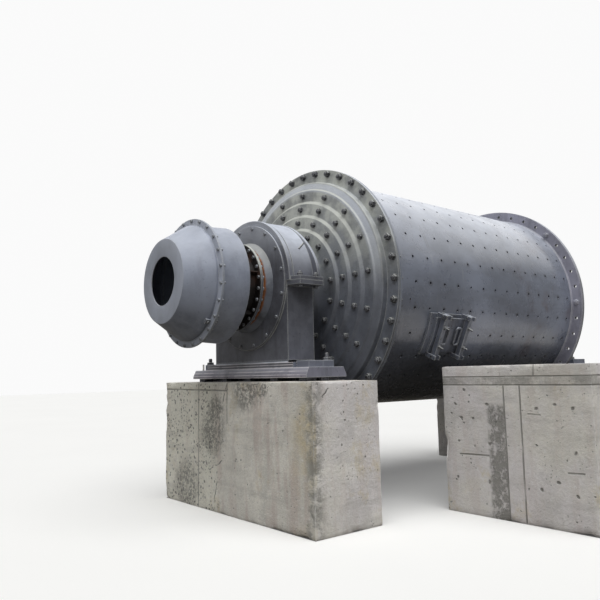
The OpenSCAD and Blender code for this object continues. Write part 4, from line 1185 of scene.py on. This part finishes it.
class MILL_OT_fasteners(bpy.types.Operator):
    """Bolts and nuts of the flanges, heads, feeder, covers and bearings"""

    bl_idname = "mill.fasteners"
    bl_label = "Fasteners"

    def execute(self, context):
        sizes = context.scene.mill_sizes
        long_nut, flat_nut = nut(sizes.flange_nut, 0.034, stud=0.014), nut(sizes.flange_nut, 0.026)
        screw, ring_nut = nut(sizes.small_nut, 0.013), nut(sizes.ring_nut, 0.029, stud=0.008)
        up, down, lug = [0, 0, 1.0], [0, 0, -1.0], FOOT + LUG_T
        split = np.array([(x, side * SPLIT_Y, AXIS + SPLIT_HIGH) for side in (1, -1) for x in SPLIT_X])
        anchors = np.array([(ANCHOR_X[1], -ANCHOR_Y, lug), (ANCHOR_X[0], ANCHOR_Y, lug)])
        jack = [("round", 0.011, 0.0), ("round", 0.011, 0.070), ("round", 0.009, 0.074)]
        for name, coat, body, slot, rows in (
            ("flange_bolts", "dark_bolts", DRUM, "shell_paint", [
                (ring_places(FLANGE_BOLTS, 0, BOLT_R, HEAD_BACK, -1), long_nut),
                (ring_places(FLANGE_BOLTS, 0, BOLT_R, JOINT + FEED_FLANGE_T, 1), flat_nut),
            ]),
            ("gear_flange_bolts", "gear_flange_paint", DRUM, "shell_paint", [
                (ring_places(FLANGE_BOLTS, 2, BOLT_R, GEAR_JOINT - GEAR_FLANGE_T, -1, FITTED), long_nut),
                (ring_places(FLANGE_BOLTS, 2, BOLT_R, GEAR_JOINT + 0.030, 1, FITTED), flat_nut),
            ]),
            ("head_liner_bolts", "dark_bolts", DRUM, "head_paint", [
                (both_ends(ring_places(18, 5, RING_R + k * RING_STEP, RING_FACE + k * RING_RISE, -1)), ring_nut)
                for k in range(RINGS)
            ]),
            ("feeder_bolts", "painted_bolts", DRUM, "feeder_paint", [
                (ring_places(24, 6.5, FEEDER_BOLT_R, FEEDER_FRONT, -1), screw),
                (ring_places(24, 6.5, FEEDER_BOLT_R, FEEDER_REAR, 1), nut(sizes.small_nut, 0.016, stud=0.008)),
                (ring_places(24, 8.2, NECK_BOLT_R, NECK_FRONT, -1), screw),
                (ring_places(24, 8.2, NECK_BOLT_R, TRUNNION_BACK, 1), nut(sizes.small_nut, 0.016, stud=0.006)),
            ]),
            ("cover_bolts", "painted_bolts", FIXED, "bearing_paint", [
                (both_ends(ring_places(16, 11.25, COVER_BOLT_R, side * COVER_FACE, side)), screw) for side in (-1, 1)
            ]),
            ("split_bolts", "dark_bolts", FIXED, "bearing_paint", [
                (both_ends((split, up)), nut(sizes.split_nut, 0.029, stud=0.016)),
                (both_ends((split - [0, 0, SPLIT_LOW + SPLIT_HIGH], down)), nut(sizes.split_nut, 0.026)),
            ]),
            ("foundation_bolts", "dark_bolts", FIXED, "bearing_paint", [
                (both_ends((anchors, up)), nut(sizes.anchor_nut, 0.026, stud=0.046)),
            ]),
            ("jack_studs", "bright_steel", FIXED, "bare_steel", [(both_ends(([(-0.192, 0.984, FOOT)], up)), jack)]),
        ):
            piece(name, [fasteners(places, profile) for places, profile in rows], coat, body)
        return {"FINISHED"}


class MILL_OT_stage(bpy.types.Operator):
    """Pale floor, soft studio light and the camera"""

    bl_idname = "mill.stage"
    bl_label = "Stage"

    def execute(self, context):
        scene = context.scene
        mesh, half = bpy.data.meshes.new("floor"), 60.0
        mesh.from_pydata([(-half, -half, 0), (half, -half, 0), (half, half, 0), (-half, half, 0)], [], [(0, 1, 2, 3)])
        finish = Finish("floor")
        finish.start("floor", 0.97, 1.02, finish.noise(0.3))
        seen = finish.node("LightPath", out="Is Camera Ray")
        finish.base = finish.mix(seen, "ground", finish.base)
        finish.rise(finish.noise(40), 0.0005, 0.2)
        glow = finish.mix(seen, (0.0, 0.0, 0.0), (1.0, 1.0, 1.0))
        finish.end(0.9, gloss=0.0, more={"Emission Color": glow, "Emission Strength": 0.12})
        mesh.materials.append(finish.material)
        floor = bpy.data.objects.new("floor", mesh)
        scene.collection.objects.link(floor)
        world = bpy.data.worlds.new("studio")
        world.use_nodes = True
        sky = Nodes(world.node_tree)
        rays = [sky.node("LightPath", out=f"Is {ray} Ray") for ray in ("Camera", "Glossy", "Transmission")]
        x, _, z = sky.axes(sky.node("TexCoord", out="Object"))
        # What gloss mirrors: dark below and bright above, with the bright part lower towards the open end at -X
        lift = sky.node("MapRange", {}, {"Value": x, "From Max": -1.0, "To Max": 0.40})
        roof = {"Value": z + lift, "From Min": 0.34, "From Max": 0.46, "To Min": 0.25, "To Max": 1.4}
        lit = sky.node("Mix", {}, {"Factor": rays[0], "A": sky.node("MapRange", {}, roof), "B": 0.96}, "Result")
        level = sky.node("MapRange", {}, {"Value": sky.most(rays), "To Min": 0.14, "To Max": lit})
        back = world.node_tree.nodes["Background"]
        back.inputs["Color"].default_value = (1, 1, 1, 1)
        world.node_tree.links.new(level.socket, back.inputs["Strength"])
        scene.world = world
        for name, away, spread, strength in (
            ("sky", (-0.22, -0.4, 1.0), 70, 2.6), ("side", (-1.0, -0.5, 0.2), 60, 0.42)
        ):
            lamp = bpy.data.lights.new(name, "SUN")
            lamp.angle, lamp.energy = spread * DEG, strength
            made = bpy.data.objects.new(name, lamp)
            made.rotation_euler = Vector(away).to_track_quat("Z", "Y").to_euler()
            scene.collection.objects.link(made)
        lens = bpy.data.cameras.new("camera")
        lens.lens, lens.sensor_width, lens.clip_end = 37.685, 36.0, 300
        camera = bpy.data.objects.new("camera", lens)
        yaw, pitch, roll = 39.17 * DEG, 6.69 * DEG, -1.26 * DEG
        ahead = np.array([math.sin(yaw) * math.cos(pitch), math.cos(yaw) * math.cos(pitch), math.sin(pitch)])
        level_right = np.array([math.cos(yaw), -math.sin(yaw), 0.0])
        level_up = np.cross(level_right, ahead)
        right = math.cos(roll) * level_right + math.sin(roll) * level_up
        upright = math.cos(roll) * level_up - math.sin(roll) * level_right
        turn = Matrix(np.stack([right, upright, -ahead], -1).tolist()).to_4x4()
        camera.matrix_world = Matrix.Translation((-4.1956, -5.8535, 1.4838)) @ turn
        scene.collection.objects.link(camera)
        scene.camera = camera
        scene.view_settings.view_transform = "Standard"
        return {"FINISHED"}


OPERATORS = (
    MILL_OT_stage, MILL_OT_shell, MILL_OT_flanges, MILL_OT_heads, MILL_OT_feeder, MILL_OT_manhole, MILL_OT_bearings,
    MILL_OT_foundations, MILL_OT_fasteners,
)


class MILL_PT_panel(bpy.types.Panel):
    """Sidebar panel that lists the mill's operators"""

    bl_idname = "MILL_PT_panel"
    bl_label = "Ball mill"
    bl_space_type = "VIEW_3D"
    bl_region_type = "UI"
    bl_category = "Mill"

    def draw(self, context):
        for operator in OPERATORS:
            self.layout.operator(operator.bl_idname)


CLASSES = (MillSizes, MillColours, *OPERATORS, MILL_PT_panel)


def register():
    for kind in CLASSES:
        bpy.utils.register_class(kind)
    bpy.types.Scene.mill_sizes = PointerProperty(type=MillSizes)
    bpy.types.Scene.mill_colours = PointerProperty(type=MillColours)


def unregister():
    del bpy.types.Scene.mill_colours
    del bpy.types.Scene.mill_sizes
    for kind in reversed(CLASSES):
        bpy.utils.unregister_class(kind)


def main():
    register()
    for operator in OPERATORS:
        getattr(bpy.ops.mill, operator.bl_idname.split(".")[1])()


if __name__ == "__main__":
    main()
